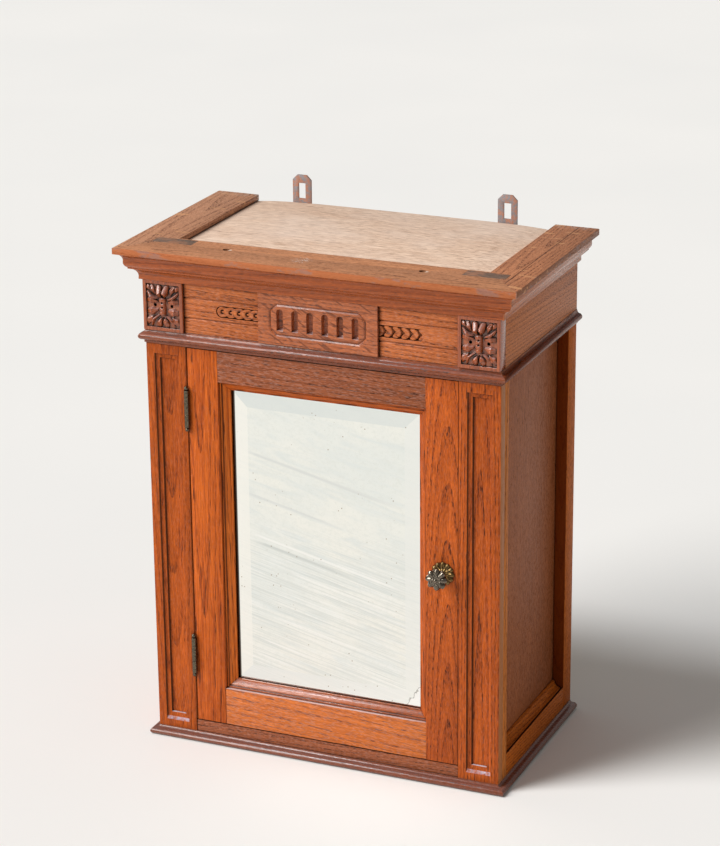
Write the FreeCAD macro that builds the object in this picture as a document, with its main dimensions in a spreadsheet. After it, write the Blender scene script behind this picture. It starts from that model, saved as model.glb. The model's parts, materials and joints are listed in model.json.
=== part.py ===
"""Oak wall cabinet with a mirrored door, carved frieze and moulded cornice.

Millimetres, +Z up, the front looks to -Y.  The origin is the middle of the base board's underside.
"""
import FreeCAD, Part
import math
import os
import re
import Sketcher

# Driving sizes: millimetres, and counts where the name says so.
SIZES = {
    # Carcass
    "body_width": 436.0,
    "body_depth": 252.0,
    "base_thickness": 11.0,
    "base_overhang": 9.0,
    "base_nose_radius": 4.0,
    "pilaster_width": 50.0,
    "pilaster_thickness": 13.0,
    "pilaster_height": 484.0,
    "recess_width": 30.0,
    "recess_margin": 12.5,
    "recess_slope": 4.5,
    "recess_depth": 5.0,
    "post_thickness": 13.0,
    "side_thickness": 20.0,
    "rear_stile_width": 27.5,
    "panel_recess": 14.0,
    "side_rail_height": 27.0,
    "sill_rise": 9.5,
    "sill_fillet": 3.0,
    "sill_cove_radius": 9.0,
    "sill_edge": 1.0,
    "quirk_width": 2.0,
    "quirk_depth": 2.5,
    "front_rail_height": 14.5,
    "front_rail_setback": 1.0,
    "stop_thickness": 12.0,
    "stop_height": 25.0,
    "stop_clearance": 0.3,
    "back_thickness": 8.0,
    # Frieze
    "frieze_height": 59.5,
    "carving_proud": 4.0,
    "tablet_width": 146.0,
    "field_margin": 13.0,
    "field_ledge": 10.0,
    "field_corner": 8.5,
    "field_depth": 1.5,
    "flute_count": 6.0,
    "flute_pitch": 18.4,
    "flute_width": 8.0,
    "flute_height": 25.0,
    "flute_depth": 5.0,
    "groove_depth": 1.5,
    "upper_groove_drop": 17.5,
    "lower_groove_drop": 41.5,
    "channel_length": 54.0,
    "channel_height": 14.0,
    "channel_depth": 2.5,
    "block_border": 4.0,
    "block_field_depth": 2.5,
    # Mouldings
    "mid_height": 16.5,
    "mid_projection": 7.0,
    "mid_fillet_width": 1.5,
    "mid_fillet_height": 3.5,
    "mid_nose_radius": 4.25,
    "mid_cove_radius": 6.0,
    "mid_lip_width": 0.6,
    "cornice_height": 32.5,
    "cornice_foot_width": 4.5,
    "cornice_foot_height": 2.0,
    "cornice_cove_width": 4.5,
    "cornice_cove_height": 10.0,
    "cornice_cove_radius": 10.0,
    "cornice_step_width": 4.5,
    "cornice_step_height": 1.5,
    "cornice_wave_width": 7.5,
    "cornice_head_fillet": 1.5,
    "cornice_wave_radius": 8.0,
    # Top
    "fascia_overhang": 5.0,
    "top_board_thickness": 7.5,
    "top_front_width": 64.0,
    "top_side_width": 54.0,
    "dust_top_thickness": 8.0,
    "dowel_spacing": 239.0,
    "dowel_setback": 14.5,
    "dowel_radius": 4.0,
    "key_length": 50.0,
    "key_width": 19.0,
    "key_depth": 3.0,
    "key_margin": 2.0,
    # Hangers
    "hanger_spacing": 263.0,
    "hanger_width": 24.0,
    "hanger_thickness": 2.5,
    "hanger_rise": 30.0,
    "hanger_length": 86.0,
    "hanger_chamfer": 6.0,
    "slot_width": 9.2,
    "slot_height": 19.0,
    "slot_margin": 10.0,
    "hanger_screw_margin": 10.0,
    "hanger_screw_pitch": 18.0,
    # Shelves
    "shelf_thickness": 10.0,
    "shelf_setback": 40.0,
    "shelf_clearance": 0.4,
    "lower_shelf_height": 155.0,
    "upper_shelf_height": 320.0,
    "cleat_size": 12.0,
    # Door
    "door_thickness": 22.0,
    "door_clearance": 1.5,
    "latch_gap": 1.5,
    "stile_width": 38.0,
    "door_head_width": 37.0,
    "door_foot_width": 46.0,
    "mirror_depth": 13.0,
    "sight_width": 11.0,
    "bead_width": 2.2,
    "bead_depth": 4.0,
    "bead_step": 1.8,
    "lip_width": 2.0,
    "lip_depth": 3.0,
    "sight_cove_radius": 9.0,
    "glass_thickness": 4.0,
    "glass_clearance": 0.3,
    "glass_bevel_width": 31.0,
    "glass_bevel_depth": 1.5,
    # Hinges
    "leaf_thickness": 0.95,
    "leaf_clearance": 0.3,
    "leaf_width": 19.0,
    "leaf_height": 45.0,
    "barrel_radius": 2.8,
    "barrel_clearance": 0.3,
    "knuckle_clearance": 0.2,
    "pin_radius": 1.2,
    "pin_clearance": 0.05,
    "pin_tip_radius": 2.6,
    "lower_hinge_rise": 84.0,
    "upper_hinge_drop": 73.0,
    "screw_head_radius": 2.3,
    "screw_shank_radius": 1.1,
    "screw_length": 9.0,
    "screw_pitch": 15.0,
    "hanger_screw_length": 7.0,
    # Knob and latch
    "knob_height": 236.0,
    "knob_setback": 17.0,
    "rose_radius": 13.5,
    "rose_thickness": 3.0,
    "rose_edge": 1.4,
    "knob_radius": 12.0,
    "knob_projection": 26.0,
    "knob_head_thickness": 9.0,
    "knob_edge_radius": 4.2,
    "knob_neck_radius": 4.5,
    "spindle_radius": 3.0,
    "spindle_clearance": 0.3,
    "tongue_clearance": 0.4,
    "tongue_thickness": 3.0,
    "tongue_width": 11.0,
    "tongue_reach": 35.0,
    "spindle_square": 4.0,
    "thread_radius": 1.8,
    "nut_radius": 4.0,
    "nut_thickness": 3.0,
}

SIDES = ("left", "right")
UPPER_LOWER = ("lower", "upper")
BACK_BOARDS = ("left", "middle", "right")
NUT_SIDES = 6

# Places across the cabinet, from its middle plane outwards.
HALF = "body_width / 2"
INSIDE = f"{HALF} - side_thickness"
PANEL_FACE = f"{HALF} - panel_recess"
JAMB = f"{HALF} - pilaster_width"

# Places from the front to the back.
FRONT = "-body_depth / 2"
BACK = "body_depth / 2"
POST_FACE = f"{FRONT} + pilaster_thickness"
POST_BACK = f"{POST_FACE} + post_thickness"
STILE_FACE = f"{BACK} - rear_stile_width"
BOARD_BACK = f"{BACK} - hanger_thickness"
BOARD_FACE = f"{BOARD_BACK} - back_thickness"
SHELF_FRONT = f"{FRONT} + shelf_setback"

# Levels.
FLOOR = "base_thickness"
PILASTER_TOP = f"{FLOOR} + pilaster_height"
FRIEZE_FOOT = f"{PILASTER_TOP} + mid_height"
FRIEZE_HEAD = f"{FRIEZE_FOOT} + frieze_height"
CORNICE_HEAD = f"{FRIEZE_HEAD} + cornice_height"
CARCASS_HEAD = f"{CORNICE_HEAD} - dust_top_thickness"
TOP = f"{CORNICE_HEAD} + top_board_thickness"

# The door and its opening for the mirror.
DOOR_LEFT = f"-({JAMB}) + 2 * leaf_thickness + leaf_clearance"
DOOR_RIGHT = f"{JAMB} - latch_gap"
DOOR_FOOT = f"{FLOOR} + front_rail_height + door_clearance"
DOOR_HEAD = f"{PILASTER_TOP} - door_clearance"
DOOR_BACK = f"{FRONT} + door_thickness"
SIGHT_LEFT = f"{DOOR_LEFT} + stile_width"
SIGHT_RIGHT = f"{DOOR_RIGHT} - stile_width"
SIGHT_FOOT = f"{DOOR_FOOT} + door_foot_width"
SIGHT_HEAD = f"{DOOR_HEAD} - door_head_width"
GLASS_FACE = f"{FRONT} + mirror_depth"
GLASS_BACK = f"{GLASS_FACE} + glass_thickness"

# The hinge axis stands in front of the gap between the pilaster and the door.
HINGE_X = f"-({JAMB}) + leaf_thickness + leaf_clearance / 2"
HINGE_Y = f"{FRONT} - barrel_radius - barrel_clearance"
HINGE_LEVELS = {
    "lower": f"{DOOR_FOOT} + lower_hinge_rise",
    "upper": f"{DOOR_HEAD} - upper_hinge_drop",
}
LEAF_BACK = f"{FRONT} + leaf_width"

# The knob's axis runs through the right stile, nearer to the door's edge.
KNOB_X = f"{DOOR_RIGHT} - knob_setback"
KNOB_Z = f"{DOOR_FOOT} + knob_height"
TONGUE_FACE = f"{POST_BACK} + tongue_clearance"
TONGUE_BACK = f"{TONGUE_FACE} + tongue_thickness"

doc = FreeCAD.newDocument("wall_cabinet")
sheet = doc.addObject("Spreadsheet::Sheet", "Sizes")
for row, (name, number) in enumerate(SIZES.items(), start=1):
    sheet.set(f"A{row}", name)
    sheet.set(f"B{row}", str(number))
    sheet.setAlias(f"B{row}", name)
doc.recompute()

pieces = []


def bound(text):
    """The expression with its size names pointed at the sheet."""
    return re.sub(r"[a-z_]+", lambda name: f"Sizes.{name.group()}", text)


def value(text):
    """What an expression comes to with the sheet's present sizes."""
    return float(sheet.evalExpression(bound(text)))


def piece(thing):
    """Enters a finished sub-part in the list that is written out."""
    pieces.append(thing)
    return thing


def flank(side, inner, outer):
    """The span from inner to outer, on the left or the right of the middle plane."""
    if side == "right":
        return inner, outer
    return f"-({outer})", f"-({inner})"


def signed(side, place):
    """A place on the left or the right of the middle plane."""
    return place if side == "right" else f"-({place})"


def board(label, x, y, z):
    """A square-edged board between two places on each axis."""
    box = doc.addObject("Part::Box", label)
    for edge, axis, (low, high) in zip(("Length", "Width", "Height"), "xyz", (x, y, z)):
        box.setExpression(edge, bound(f"({high}) - ({low})"))
        box.setExpression(f"Placement.Base.{axis}", bound(low))
    return box


def arc_between(start, end, radius, turn):
    """The arc from start to end whose centre is on the left (turn 1) or the right (turn -1)."""
    chord = end - start
    across = FreeCAD.Vector(-chord.y, chord.x, 0).normalize()
    height = math.sqrt(max(radius ** 2 - (chord.Length / 2) ** 2, 0))
    centre = (start + end) / 2 + across * height * turn
    first, last = (start, end) if turn > 0 else (end, start)
    angles = [math.atan2(point.y - centre.y, point.x - centre.x) for point in (first, last)]
    return Part.ArcOfCircle(Part.Circle(centre, FreeCAD.Vector(0, 0, 1), radius), *angles)


def outline(body, plane, corners, level, bends):
    """A closed outline at a level of an origin plane, each corner tied to the sheet.

    bends gives the radius and the turn of the stretches that are arcs, by the number of their first corner.
    """
    sketch = body.newObject("Sketcher::SketchObject", f"{body.Name}_outline")
    origin_plane = [part for part in body.Origin.OriginFeatures if part.Role == plane]
    sketch.AttachmentSupport = [(origin_plane[0], "")]
    sketch.MapMode = "FlatFace"
    facing = "-1" if plane == "XZ_Plane" else "1"
    sketch.setExpression("AttachmentOffset.Base.z", bound(f"{facing} * ({level})"))
    points = [FreeCAD.Vector(value(across), value(up), 0) for across, up in corners]
    ends = []
    for index, start in enumerate(points):
        end = points[(index + 1) % len(points)]
        if index not in bends:
            ends.append((sketch.addGeometry(Part.LineSegment(start, end)), 1, 2))
            continue
        radius, turn = bends[index]
        arc = sketch.addGeometry(arc_between(start, end, value(radius), turn))
        ends.append((arc, 1, 2) if turn > 0 else (arc, 2, 1))
    for index, (edge, _, last) in enumerate(ends):
        following, following_first, _ = ends[(index + 1) % len(ends)]
        sketch.addConstraint(Sketcher.Constraint("Coincident", edge, last, following, following_first))
    for (edge, first, _), point, corner in zip(ends, points, corners):
        for kind, place, text in (("DistanceX", point.x, corner[0]), ("DistanceY", point.y, corner[1])):
            number = sketch.addConstraint(Sketcher.Constraint(kind, -1, 1, edge, first, place))
            sketch.setExpression(f"Constraints[{number}]", bound(text))
    for index, (radius, _) in bends.items():
        edge = ends[index][0]
        number = sketch.addConstraint(Sketcher.Constraint("Radius", edge, value(radius)))
        sketch.setExpression(f"Constraints[{number}]", bound(radius))
    return sketch


def add_prism(body, plane, corners, low, high, bends=None):
    """Pads an outline from one level of its plane's axis to another."""
    sketch = outline(body, plane, corners, low, bends or {})
    pad = body.newObject("PartDesign::Pad", f"{body.Name}_pad")
    pad.Profile = sketch
    pad.setExpression("Length", bound(f"({high}) - ({low})"))
    pad.Reversed = plane == "XZ_Plane"
    return pad


def prism(label, plane, corners, low, high, bends=None):
    """A body with one padded outline."""
    body = doc.addObject("PartDesign::Body", label)
    add_prism(body, plane, corners, low, high, bends)
    return body


def sink(body, plane, corners, low, high, bends=None):
    """Cuts an outline out of a body, from one level to another."""
    doc.recompute()
    before = body.Shape.Volume
    sketch = outline(body, plane, corners, low, bends or {})
    pocket = body.newObject("PartDesign::Pocket", f"{body.Name}_pocket")
    pocket.Profile = sketch
    pocket.setExpression("Length", bound(f"({high}) - ({low})"))
    pocket.Reversed = plane != "XZ_Plane"
    doc.recompute()
    if not body.Shape.Volume < before:
        raise RuntimeError(f"{body.Label}: a cut takes nothing away")
    return pocket


def joined(kind, label, base, tool):
    """A boolean of two objects."""
    result = doc.addObject(kind, label)
    result.Base = base
    result.Tool = tool
    return result


def group(label, members):
    """Separate solids that share one node."""
    compound = doc.addObject("Part::Compound", label)
    compound.Links = members
    return compound


def rectangle(across, up):
    """The four corners of a rectangle, counter-clockwise."""
    return [(across[0], up[0]), (across[1], up[0]), (across[1], up[1]), (across[0], up[1])]


def rod(label, radius, length, base, turn=None):
    """A cylinder from a base point along +Z, or along the axis that turn brings +Z to."""
    cylinder = doc.addObject("Part::Cylinder", label)
    cylinder.setExpression("Radius", bound(radius))
    cylinder.setExpression("Height", bound(length))
    place_at(cylinder, base, turn)
    return cylinder


def place_at(thing, base, turn):
    """Turns an object and ties its base point to the sheet."""
    if turn:
        thing.Placement = FreeCAD.Placement(FreeCAD.Vector(), turn)
    for axis, text in zip("xyz", base):
        thing.setExpression(f"Placement.Base.{axis}", bound(text))


TO_LEFT = FreeCAD.Rotation(FreeCAD.Vector(0, 1, 0), -90)
TO_RIGHT = FreeCAD.Rotation(FreeCAD.Vector(0, 1, 0), 90)
TO_FRONT = FreeCAD.Rotation(FreeCAD.Vector(1, 0, 0), 90)


# Moulded edges.  A section is a list of (outwards, upwards) points with its arcs: radius, and 1 for a
# round that swells outwards or -1 for a hollow.

BASE_COVE = "base_thickness - 2 * base_nose_radius"
BASE_FLAT = "base_overhang - base_nose_radius"
BASE_SECTION = [
    (BASE_FLAT, "0"),
    ("base_overhang", "base_nose_radius"),
    (BASE_FLAT, "2 * base_nose_radius"),
    (BASE_COVE, "2 * base_nose_radius"),
    ("0", "base_thickness"),
]
BASE_BENDS = {0: ("base_nose_radius", 1), 1: ("base_nose_radius", 1), 3: (BASE_COVE, -1)}

MID_FLAT = "mid_projection - mid_nose_radius"
MID_SECTION = [
    ("0", "0"),
    ("mid_fillet_width", "0"),
    ("mid_fillet_width", "mid_fillet_height"),
    (MID_FLAT, "mid_fillet_height"),
    ("mid_projection", "mid_fillet_height + mid_nose_radius"),
    (MID_FLAT, "mid_fillet_height + 2 * mid_nose_radius"),
    ("mid_lip_width", "mid_height"),
    ("0", "mid_height"),
]
MID_BENDS = {3: ("mid_nose_radius", 1), 4: ("mid_nose_radius", 1), 5: ("mid_cove_radius", -1)}

COVE_OUT = "cornice_foot_width + cornice_cove_width"
COVE_UP = "cornice_foot_height + cornice_cove_height"
STEP_OUT = f"{COVE_OUT} + cornice_step_width"
STEP_UP = f"{COVE_UP} + cornice_step_height"
WAVE_FOOT = f"{STEP_UP} + cornice_step_height"
WAVE_HEAD = "cornice_height - cornice_head_fillet"
CORNICE_OUT = f"{STEP_OUT} + cornice_wave_width"
CORNICE_SECTION = [
    ("0", "0"),
    ("cornice_foot_width", "0"),
    ("cornice_foot_width", "cornice_foot_height"),
    (COVE_OUT, COVE_UP),
    (COVE_OUT, STEP_UP),
    (STEP_OUT, STEP_UP),
    (STEP_OUT, WAVE_FOOT),
    (f"{STEP_OUT} + cornice_wave_width / 2", f"({WAVE_FOOT} + {WAVE_HEAD}) / 2"),
    (CORNICE_OUT, WAVE_HEAD),
    (CORNICE_OUT, "cornice_height"),
    ("0", "cornice_height"),
]
CORNICE_BENDS = {
    2: ("cornice_cove_radius", -1),
    6: ("cornice_wave_radius", 1),
    7: ("cornice_wave_radius", -1),
}
FASCIA_OUT = f"{CORNICE_OUT} + fascia_overhang"


def moulded(label, edge, section, bends, foot, depth, reach):
    """A section run along the front, the left or the right face, closed at a depth behind that face."""
    plane, face, outwards = {
        "front": ("YZ_Plane", FRONT, -1),
        "left": ("XZ_Plane", f"-({HALF})", -1),
        "right": ("XZ_Plane", HALF, 1),
    }[edge]
    points = list(section)
    if depth != "0":
        points += [(f"-({depth})", section[-1][1]), (f"-({depth})", section[0][1])]
    corners = [(f"{face} + {outwards} * ({out})", f"{foot} + {up}") for out, up in points]
    turned = {index: (radius, turn * outwards) for index, (radius, turn) in bends.items()}
    low, high = reach
    return prism(label, plane, corners, low, high, turned)


def mitred_set(name, section, bends, foot, height, projection, front_depth):
    """The front, left and right lengths of a moulding that goes round the cabinet, mitred at the corners."""
    wide = f"{HALF} + {projection}"
    ahead = f"{FRONT} - ({projection})"
    behind = f"{FRONT} + {front_depth}"
    head = f"{foot} + {height}"
    run = moulded(f"front_{name}_run", "front", section, bends, foot, front_depth, (f"-({wide})", wide))
    plan = [(f"-({wide})", ahead), (wide, ahead), (HALF, FRONT), (f"-({HALF})", FRONT)]
    if front_depth != "0":
        plan[3:3] = [(HALF, behind), (f"-({HALF})", behind)]
    mitre = prism(f"front_{name}_mitre", "XY_Plane", plan, foot, head)
    piece(joined("Part::Common", f"front_{name}", run, mitre))
    for side in SIDES:
        run = moulded(f"{side}_{name}_run", side, section, bends, foot, "0", (ahead, BACK))
        inner, outer = signed(side, HALF), signed(side, wide)
        plan = [(inner, FRONT), (outer, ahead), (outer, BACK), (inner, BACK)]
        mitre = prism(f"{side}_{name}_mitre", "XY_Plane", plan, foot, head)
        piece(joined("Part::Common", f"{side}_{name}", run, mitre))


# Base board: the same nosing on three edges, square at the back.

def base_board():
    wide = f"{HALF} + base_overhang"
    ahead = f"{FRONT} - base_overhang"
    runs = [moulded("base_front_run", "front", BASE_SECTION, BASE_BENDS, "0", "body_depth",
                    (f"-({wide})", wide))]
    for side in SIDES:
        across = "body_width + base_overhang"
        runs.append(moulded(f"base_{side}_run", side, BASE_SECTION, BASE_BENDS, "0", across, (ahead, BACK)))
    base = doc.addObject("Part::MultiCommon", "base_board")
    base.Shapes = runs
    piece(base)


# Carcass: posts with pilasters in front, framed sides, rails and back boards.

def pilaster(side):
    upright = (FLOOR, PILASTER_TOP)
    blank = board(f"{side}_pilaster_blank", flank(side, JAMB, HALF), (FRONT, POST_FACE), upright)
    middle = signed(side, f"{HALF} - pilaster_width / 2")
    recess = doc.addObject("Part::Wedge", f"{side}_pilaster_recess")
    limits = {
        "Xmin": f"{middle} - recess_width / 2",
        "Xmax": f"{middle} + recess_width / 2",
        "Zmin": f"{FLOOR} + recess_margin",
        "Zmax": f"{PILASTER_TOP} - recess_margin",
        "X2min": f"{middle} - recess_width / 2 + recess_slope",
        "X2max": f"{middle} + recess_width / 2 - recess_slope",
        "Z2min": f"{FLOOR} + recess_margin + recess_slope",
        "Z2max": f"{PILASTER_TOP} - recess_margin - recess_slope",
        "Ymin": FRONT,
        "Ymax": f"{FRONT} + recess_depth",
    }
    for limit, text in limits.items():
        recess.setExpression(limit, bound(text))
    piece(joined("Part::Cut", f"{side}_pilaster", blank, recess))


def bottom_rail(side):
    """A rail whose moulded sill climbs from a quirk to the sunk panel and holds the panel's foot."""
    ledge = f"{FLOOR} + side_rail_height"
    sill_head = f"{ledge} + sill_rise"
    quirk_face = f"{HALF} - sill_edge"
    quirk_back = f"{quirk_face} - quirk_width"
    quirk_floor = f"{ledge} - quirk_depth"
    section = [
        (INSIDE, FLOOR),
        (HALF, FLOOR),
        (HALF, ledge),
        (quirk_face, ledge),
        (quirk_face, quirk_floor),
        (quirk_back, quirk_floor),
        (quirk_back, ledge),
        (f"{quirk_back} - sill_edge", ledge),
        (f"{PANEL_FACE} + sill_fillet", f"{sill_head} - sill_fillet / 2"),
        (PANEL_FACE, sill_head),
        (PANEL_FACE, ledge),
        (INSIDE, ledge),
    ]
    corners = [(signed(side, place), level) for place, level in section]
    turn = -1 if side == "right" else 1
    return prism(f"{side}_bottom_rail", "XZ_Plane", corners, POST_BACK, STILE_FACE,
                 {7: ("sill_cove_radius", turn)})


def carcass():
    ledge = f"{FLOOR} + side_rail_height"
    upright = (FLOOR, PILASTER_TOP)
    for side in SIDES:
        pilaster(side)
        wall = flank(side, INSIDE, HALF)
        panel_y = (POST_BACK, STILE_FACE)
        piece(board(f"{side}_front_post", flank(side, JAMB, HALF), (POST_FACE, POST_BACK), upright))
        piece(board(f"{side}_rear_stile", wall, (STILE_FACE, BACK), upright))
        piece(bottom_rail(side))
        piece(board(f"{side}_side_panel", flank(side, INSIDE, PANEL_FACE), panel_y, (ledge, PILASTER_TOP)))
        piece(board(f"{side}_frieze_rail", wall, (POST_FACE, BACK), (PILASTER_TOP, CARCASS_HEAD)))
    between = (f"-({JAMB})", JAMB)
    rail_y = (f"{FRONT} + front_rail_setback", DOOR_BACK)
    stop_face = f"{DOOR_BACK} + stop_clearance"
    stop_y = (stop_face, f"{stop_face} + stop_thickness")
    rail_head = f"{FLOOR} + front_rail_height"
    piece(board("front_bottom_rail", between, rail_y, (FLOOR, rail_head)))
    piece(board("door_stop", between, stop_y, (FLOOR, f"{FLOOR} + stop_height")))
    inner = (f"-({INSIDE})", INSIDE)
    piece(board("lintel", inner, (POST_FACE, POST_BACK), (PILASTER_TOP, CARCASS_HEAD)))
    plank = f"2 * ({INSIDE}) / {len(BACK_BOARDS)}"
    for index, name in enumerate(BACK_BOARDS):
        span = (f"-({INSIDE}) + {index} * {plank}", f"-({INSIDE}) + {index + 1} * {plank}")
        piece(board(f"{name}_back_board", span, (BOARD_FACE, BOARD_BACK), (FLOOR, CARCASS_HEAD)))


# Frieze: carved blocks, grooved strips and the fluted tablet, side by side in front of the lintel.

CARVING_FACE = f"{FRONT} - carving_proud"


def proud_board(label, span):
    """A frieze board whose visible part stands proud of the part behind the cornice."""
    low, high = span
    corners = [
        (POST_FACE, FRIEZE_FOOT),
        (POST_FACE, CARCASS_HEAD),
        (FRONT, CARCASS_HEAD),
        (FRONT, FRIEZE_HEAD),
        (CARVING_FACE, FRIEZE_HEAD),
        (CARVING_FACE, FRIEZE_FOOT),
    ]
    return prism(label, "YZ_Plane", corners, low, high)


def carved_block(side):
    span = flank(side, JAMB, HALF)
    block = proud_board(f"{side}_carved_block", span)
    across = (f"{span[0]} + block_border", f"{span[1]} - block_border")
    up = (f"{FRIEZE_FOOT} + block_border", f"{FRIEZE_HEAD} - block_border")
    sink(block, "XZ_Plane", rectangle(across, up), CARVING_FACE, f"{CARVING_FACE} + block_field_depth")
    piece(block)


def frieze_tablet():
    tablet = proud_board("frieze_tablet", ("-tablet_width / 2", "tablet_width / 2"))
    right = "tablet_width / 2 - field_margin"
    foot = f"{FRIEZE_FOOT} + field_ledge"
    head = f"{FRIEZE_HEAD} - field_ledge"
    field = [
        (f"-({right}) + field_corner", foot),
        (f"{right} - field_corner", foot),
        (right, f"{foot} + field_corner"),
        (right, f"{head} - field_corner"),
        (f"{right} - field_corner", head),
        (f"-({right}) + field_corner", head),
        (f"-({right})", f"{head} - field_corner"),
        (f"-({right})", f"{foot} + field_corner"),
    ]
    field_floor = f"{CARVING_FACE} + field_depth"
    sink(tablet, "XZ_Plane", field, CARVING_FACE, field_floor)
    flute_foot = f"{FRIEZE_FOOT} + (frieze_height - flute_height) / 2"
    spring = f"{flute_foot} + flute_height - flute_width / 2"
    first = "-(flute_count - 1) * flute_pitch / 2"
    flute = [
        (f"{first} - flute_width / 2", flute_foot),
        (f"{first} + flute_width / 2", flute_foot),
        (f"{first} + flute_width / 2", spring),
        (first, f"{spring} + flute_width / 2"),
        (f"{first} - flute_width / 2", spring),
    ]
    round_head = {2: ("flute_width / 2", 1), 3: ("flute_width / 2", 1)}
    pocket = sink(tablet, "XZ_Plane", flute, field_floor, f"{field_floor} + flute_depth", round_head)
    row = tablet.newObject("PartDesign::LinearPattern", "flute_row")
    row.Originals = [pocket]
    row.Direction = (pocket.Profile[0], ["H_Axis"])
    row.setExpression("Length", bound("(flute_count - 1) * flute_pitch"))
    row.setExpression("Occurrences", bound("flute_count"))
    tablet.Tip = row
    piece(tablet)


def frieze_strip(side):
    span = flank(side, "tablet_width / 2", JAMB)
    face = rectangle(span, (FRIEZE_FOOT, CARCASS_HEAD))
    strip = prism(f"{side}_frieze_strip", "XZ_Plane", face, FRONT, POST_FACE)
    for drop in ("upper_groove_drop", "lower_groove_drop"):
        level = f"{FRIEZE_HEAD} - {drop}"
        groove = [
            (FRONT, f"{level} - groove_depth"),
            (f"{FRONT} + groove_depth", level),
            (FRONT, f"{level} + groove_depth"),
        ]
        sink(strip, "YZ_Plane", groove, *span)
    middle = f"{FRIEZE_HEAD} - (upper_groove_drop + lower_groove_drop) / 2"
    near = "tablet_width / 2"
    far = f"{near} + channel_length - channel_height / 2"
    channel = [
        (near, f"{middle} - channel_height / 2"),
        (far, f"{middle} - channel_height / 2"),
        (f"{far} + channel_height / 2", middle),
        (far, f"{middle} + channel_height / 2"),
        (near, f"{middle} + channel_height / 2"),
    ]
    turn = 1 if side == "right" else -1
    round_end = {1: ("channel_height / 2", turn), 2: ("channel_height / 2", turn)}
    channel = [(signed(side, across), up) for across, up in channel]
    sink(strip, "XZ_Plane", channel, FRONT, f"{FRONT} + channel_depth", round_end)
    piece(strip)


# Top: three mitred boards with let-in corner keys round a sunk dust top.

def top():
    wide = f"{HALF} + {FASCIA_OUT}"
    ahead = f"{FRONT} - ({FASCIA_OUT})"
    inner = f"{wide} - top_side_width"
    behind = f"{ahead} + top_front_width"
    key_y = (f"{behind} - key_margin - key_width", f"{behind} - key_margin")
    keys = []
    for side in SIDES:
        span = flank(side, f"{inner} - key_length / 2", f"{inner} + key_length / 2")
        keys.append(board(f"{side}_corner_key", span, key_y, (f"{TOP} - key_depth", TOP)))
    key_pair = piece(group("corner_keys", keys))
    plan = [(f"-({wide})", ahead), (wide, ahead), (inner, behind), (f"-({inner})", behind)]
    front = prism("front_top_blank", "XY_Plane", plan, CORNICE_HEAD, TOP)
    holes = []
    for side in SIDES:
        foot = (signed(side, "dowel_spacing / 2"), f"{FRONT} + dowel_setback", CORNICE_HEAD)
        holes.append(rod(f"{side}_dowel_hole", "dowel_radius", "top_board_thickness", foot))
    tools = group("front_top_cuts", [key_pair] + holes)
    piece(joined("Part::Cut", "front_top_board", front, tools))
    for side in SIDES:
        plan = [(signed(side, wide), ahead), (signed(side, wide), BACK), (signed(side, inner), BACK),
                (signed(side, inner), behind)]
        blank = prism(f"{side}_top_blank", "XY_Plane", plan, CORNICE_HEAD, TOP)
        piece(joined("Part::Cut", f"{side}_top_board", blank, key_pair))
    piece(board("dust_top", (f"-({HALF})", HALF), (FRONT, BOARD_BACK), (CARCASS_HEAD, CORNICE_HEAD)))


# Screws: a flat countersunk head on a plain shank, along the axis that turn brings +Z to.

def screw(label, depth, length, base, turn):
    """The head fills a sheet of the given depth, and the shank goes on past it."""
    head = doc.addObject("Part::Cone", f"{label}_head")
    head.setExpression("Radius1", bound("screw_head_radius"))
    head.setExpression("Radius2", bound("screw_shank_radius"))
    head.setExpression("Height", bound(depth))
    place_at(head, base, turn)
    shank = rod(f"{label}_shank", "screw_shank_radius", length, base, turn)
    return joined("Part::Fuse", label, head, shank), head


# Hangers: slotted plates screwed to the back boards.

def hangers():
    head = f"{TOP} + hanger_rise"
    foot = f"{head} - hanger_length"
    screws = []
    for side in SIDES:
        middle = signed(side, "hanger_spacing / 2")
        left, right = f"{middle} - hanger_width / 2", f"{middle} + hanger_width / 2"
        corners = [
            (left, foot),
            (right, foot),
            (right, f"{head} - hanger_chamfer"),
            (f"{right} - hanger_chamfer", head),
            (f"{left} + hanger_chamfer", head),
            (left, f"{head} - hanger_chamfer"),
        ]
        plate = prism(f"{side}_hanger_plate", "XZ_Plane", corners, BOARD_BACK, BACK)
        slot_x = (f"{middle} - slot_width / 2", f"{middle} + slot_width / 2")
        slot_z = (f"{head} - slot_margin - slot_height", f"{head} - slot_margin")
        sink(plate, "XZ_Plane", rectangle(slot_x, slot_z), BOARD_BACK, BACK)
        countersinks = []
        for index in range(2):
            level = f"{foot} + hanger_screw_margin + {index} * hanger_screw_pitch"
            driven, countersink = screw(f"{side}_hanger_screw_{index}", "hanger_thickness",
                                        "hanger_screw_length", (middle, BACK, level), TO_FRONT)
            screws.append(driven)
            countersinks.append(countersink)
        piece(joined("Part::Cut", f"{side}_hanger", plate, group(f"{side}_hanger_holes", countersinks)))
    piece(group("hanger_screws", screws))


# Shelves on cleats.

def shelves():
    cleats = []
    for name in UPPER_LOWER:
        underside = f"{FLOOR} + {name}_shelf_height"
        for side in SIDES:
            across = flank(side, f"{INSIDE} - cleat_size", INSIDE)
            cleats.append(board(f"{name}_{side}_cleat", across, (SHELF_FRONT, STILE_FACE),
                                (f"{underside} - cleat_size", underside)))
        reach = f"{INSIDE} - shelf_clearance"
        piece(board(f"{name}_shelf", (f"-({reach})", reach), (SHELF_FRONT, f"{BOARD_FACE} - shelf_clearance"),
                    (underside, f"{underside} + shelf_thickness")))
    piece(group("shelf_cleats", cleats))


# Door: stiles and rails round a bevelled mirror that sits behind mitred mouldings.

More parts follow.
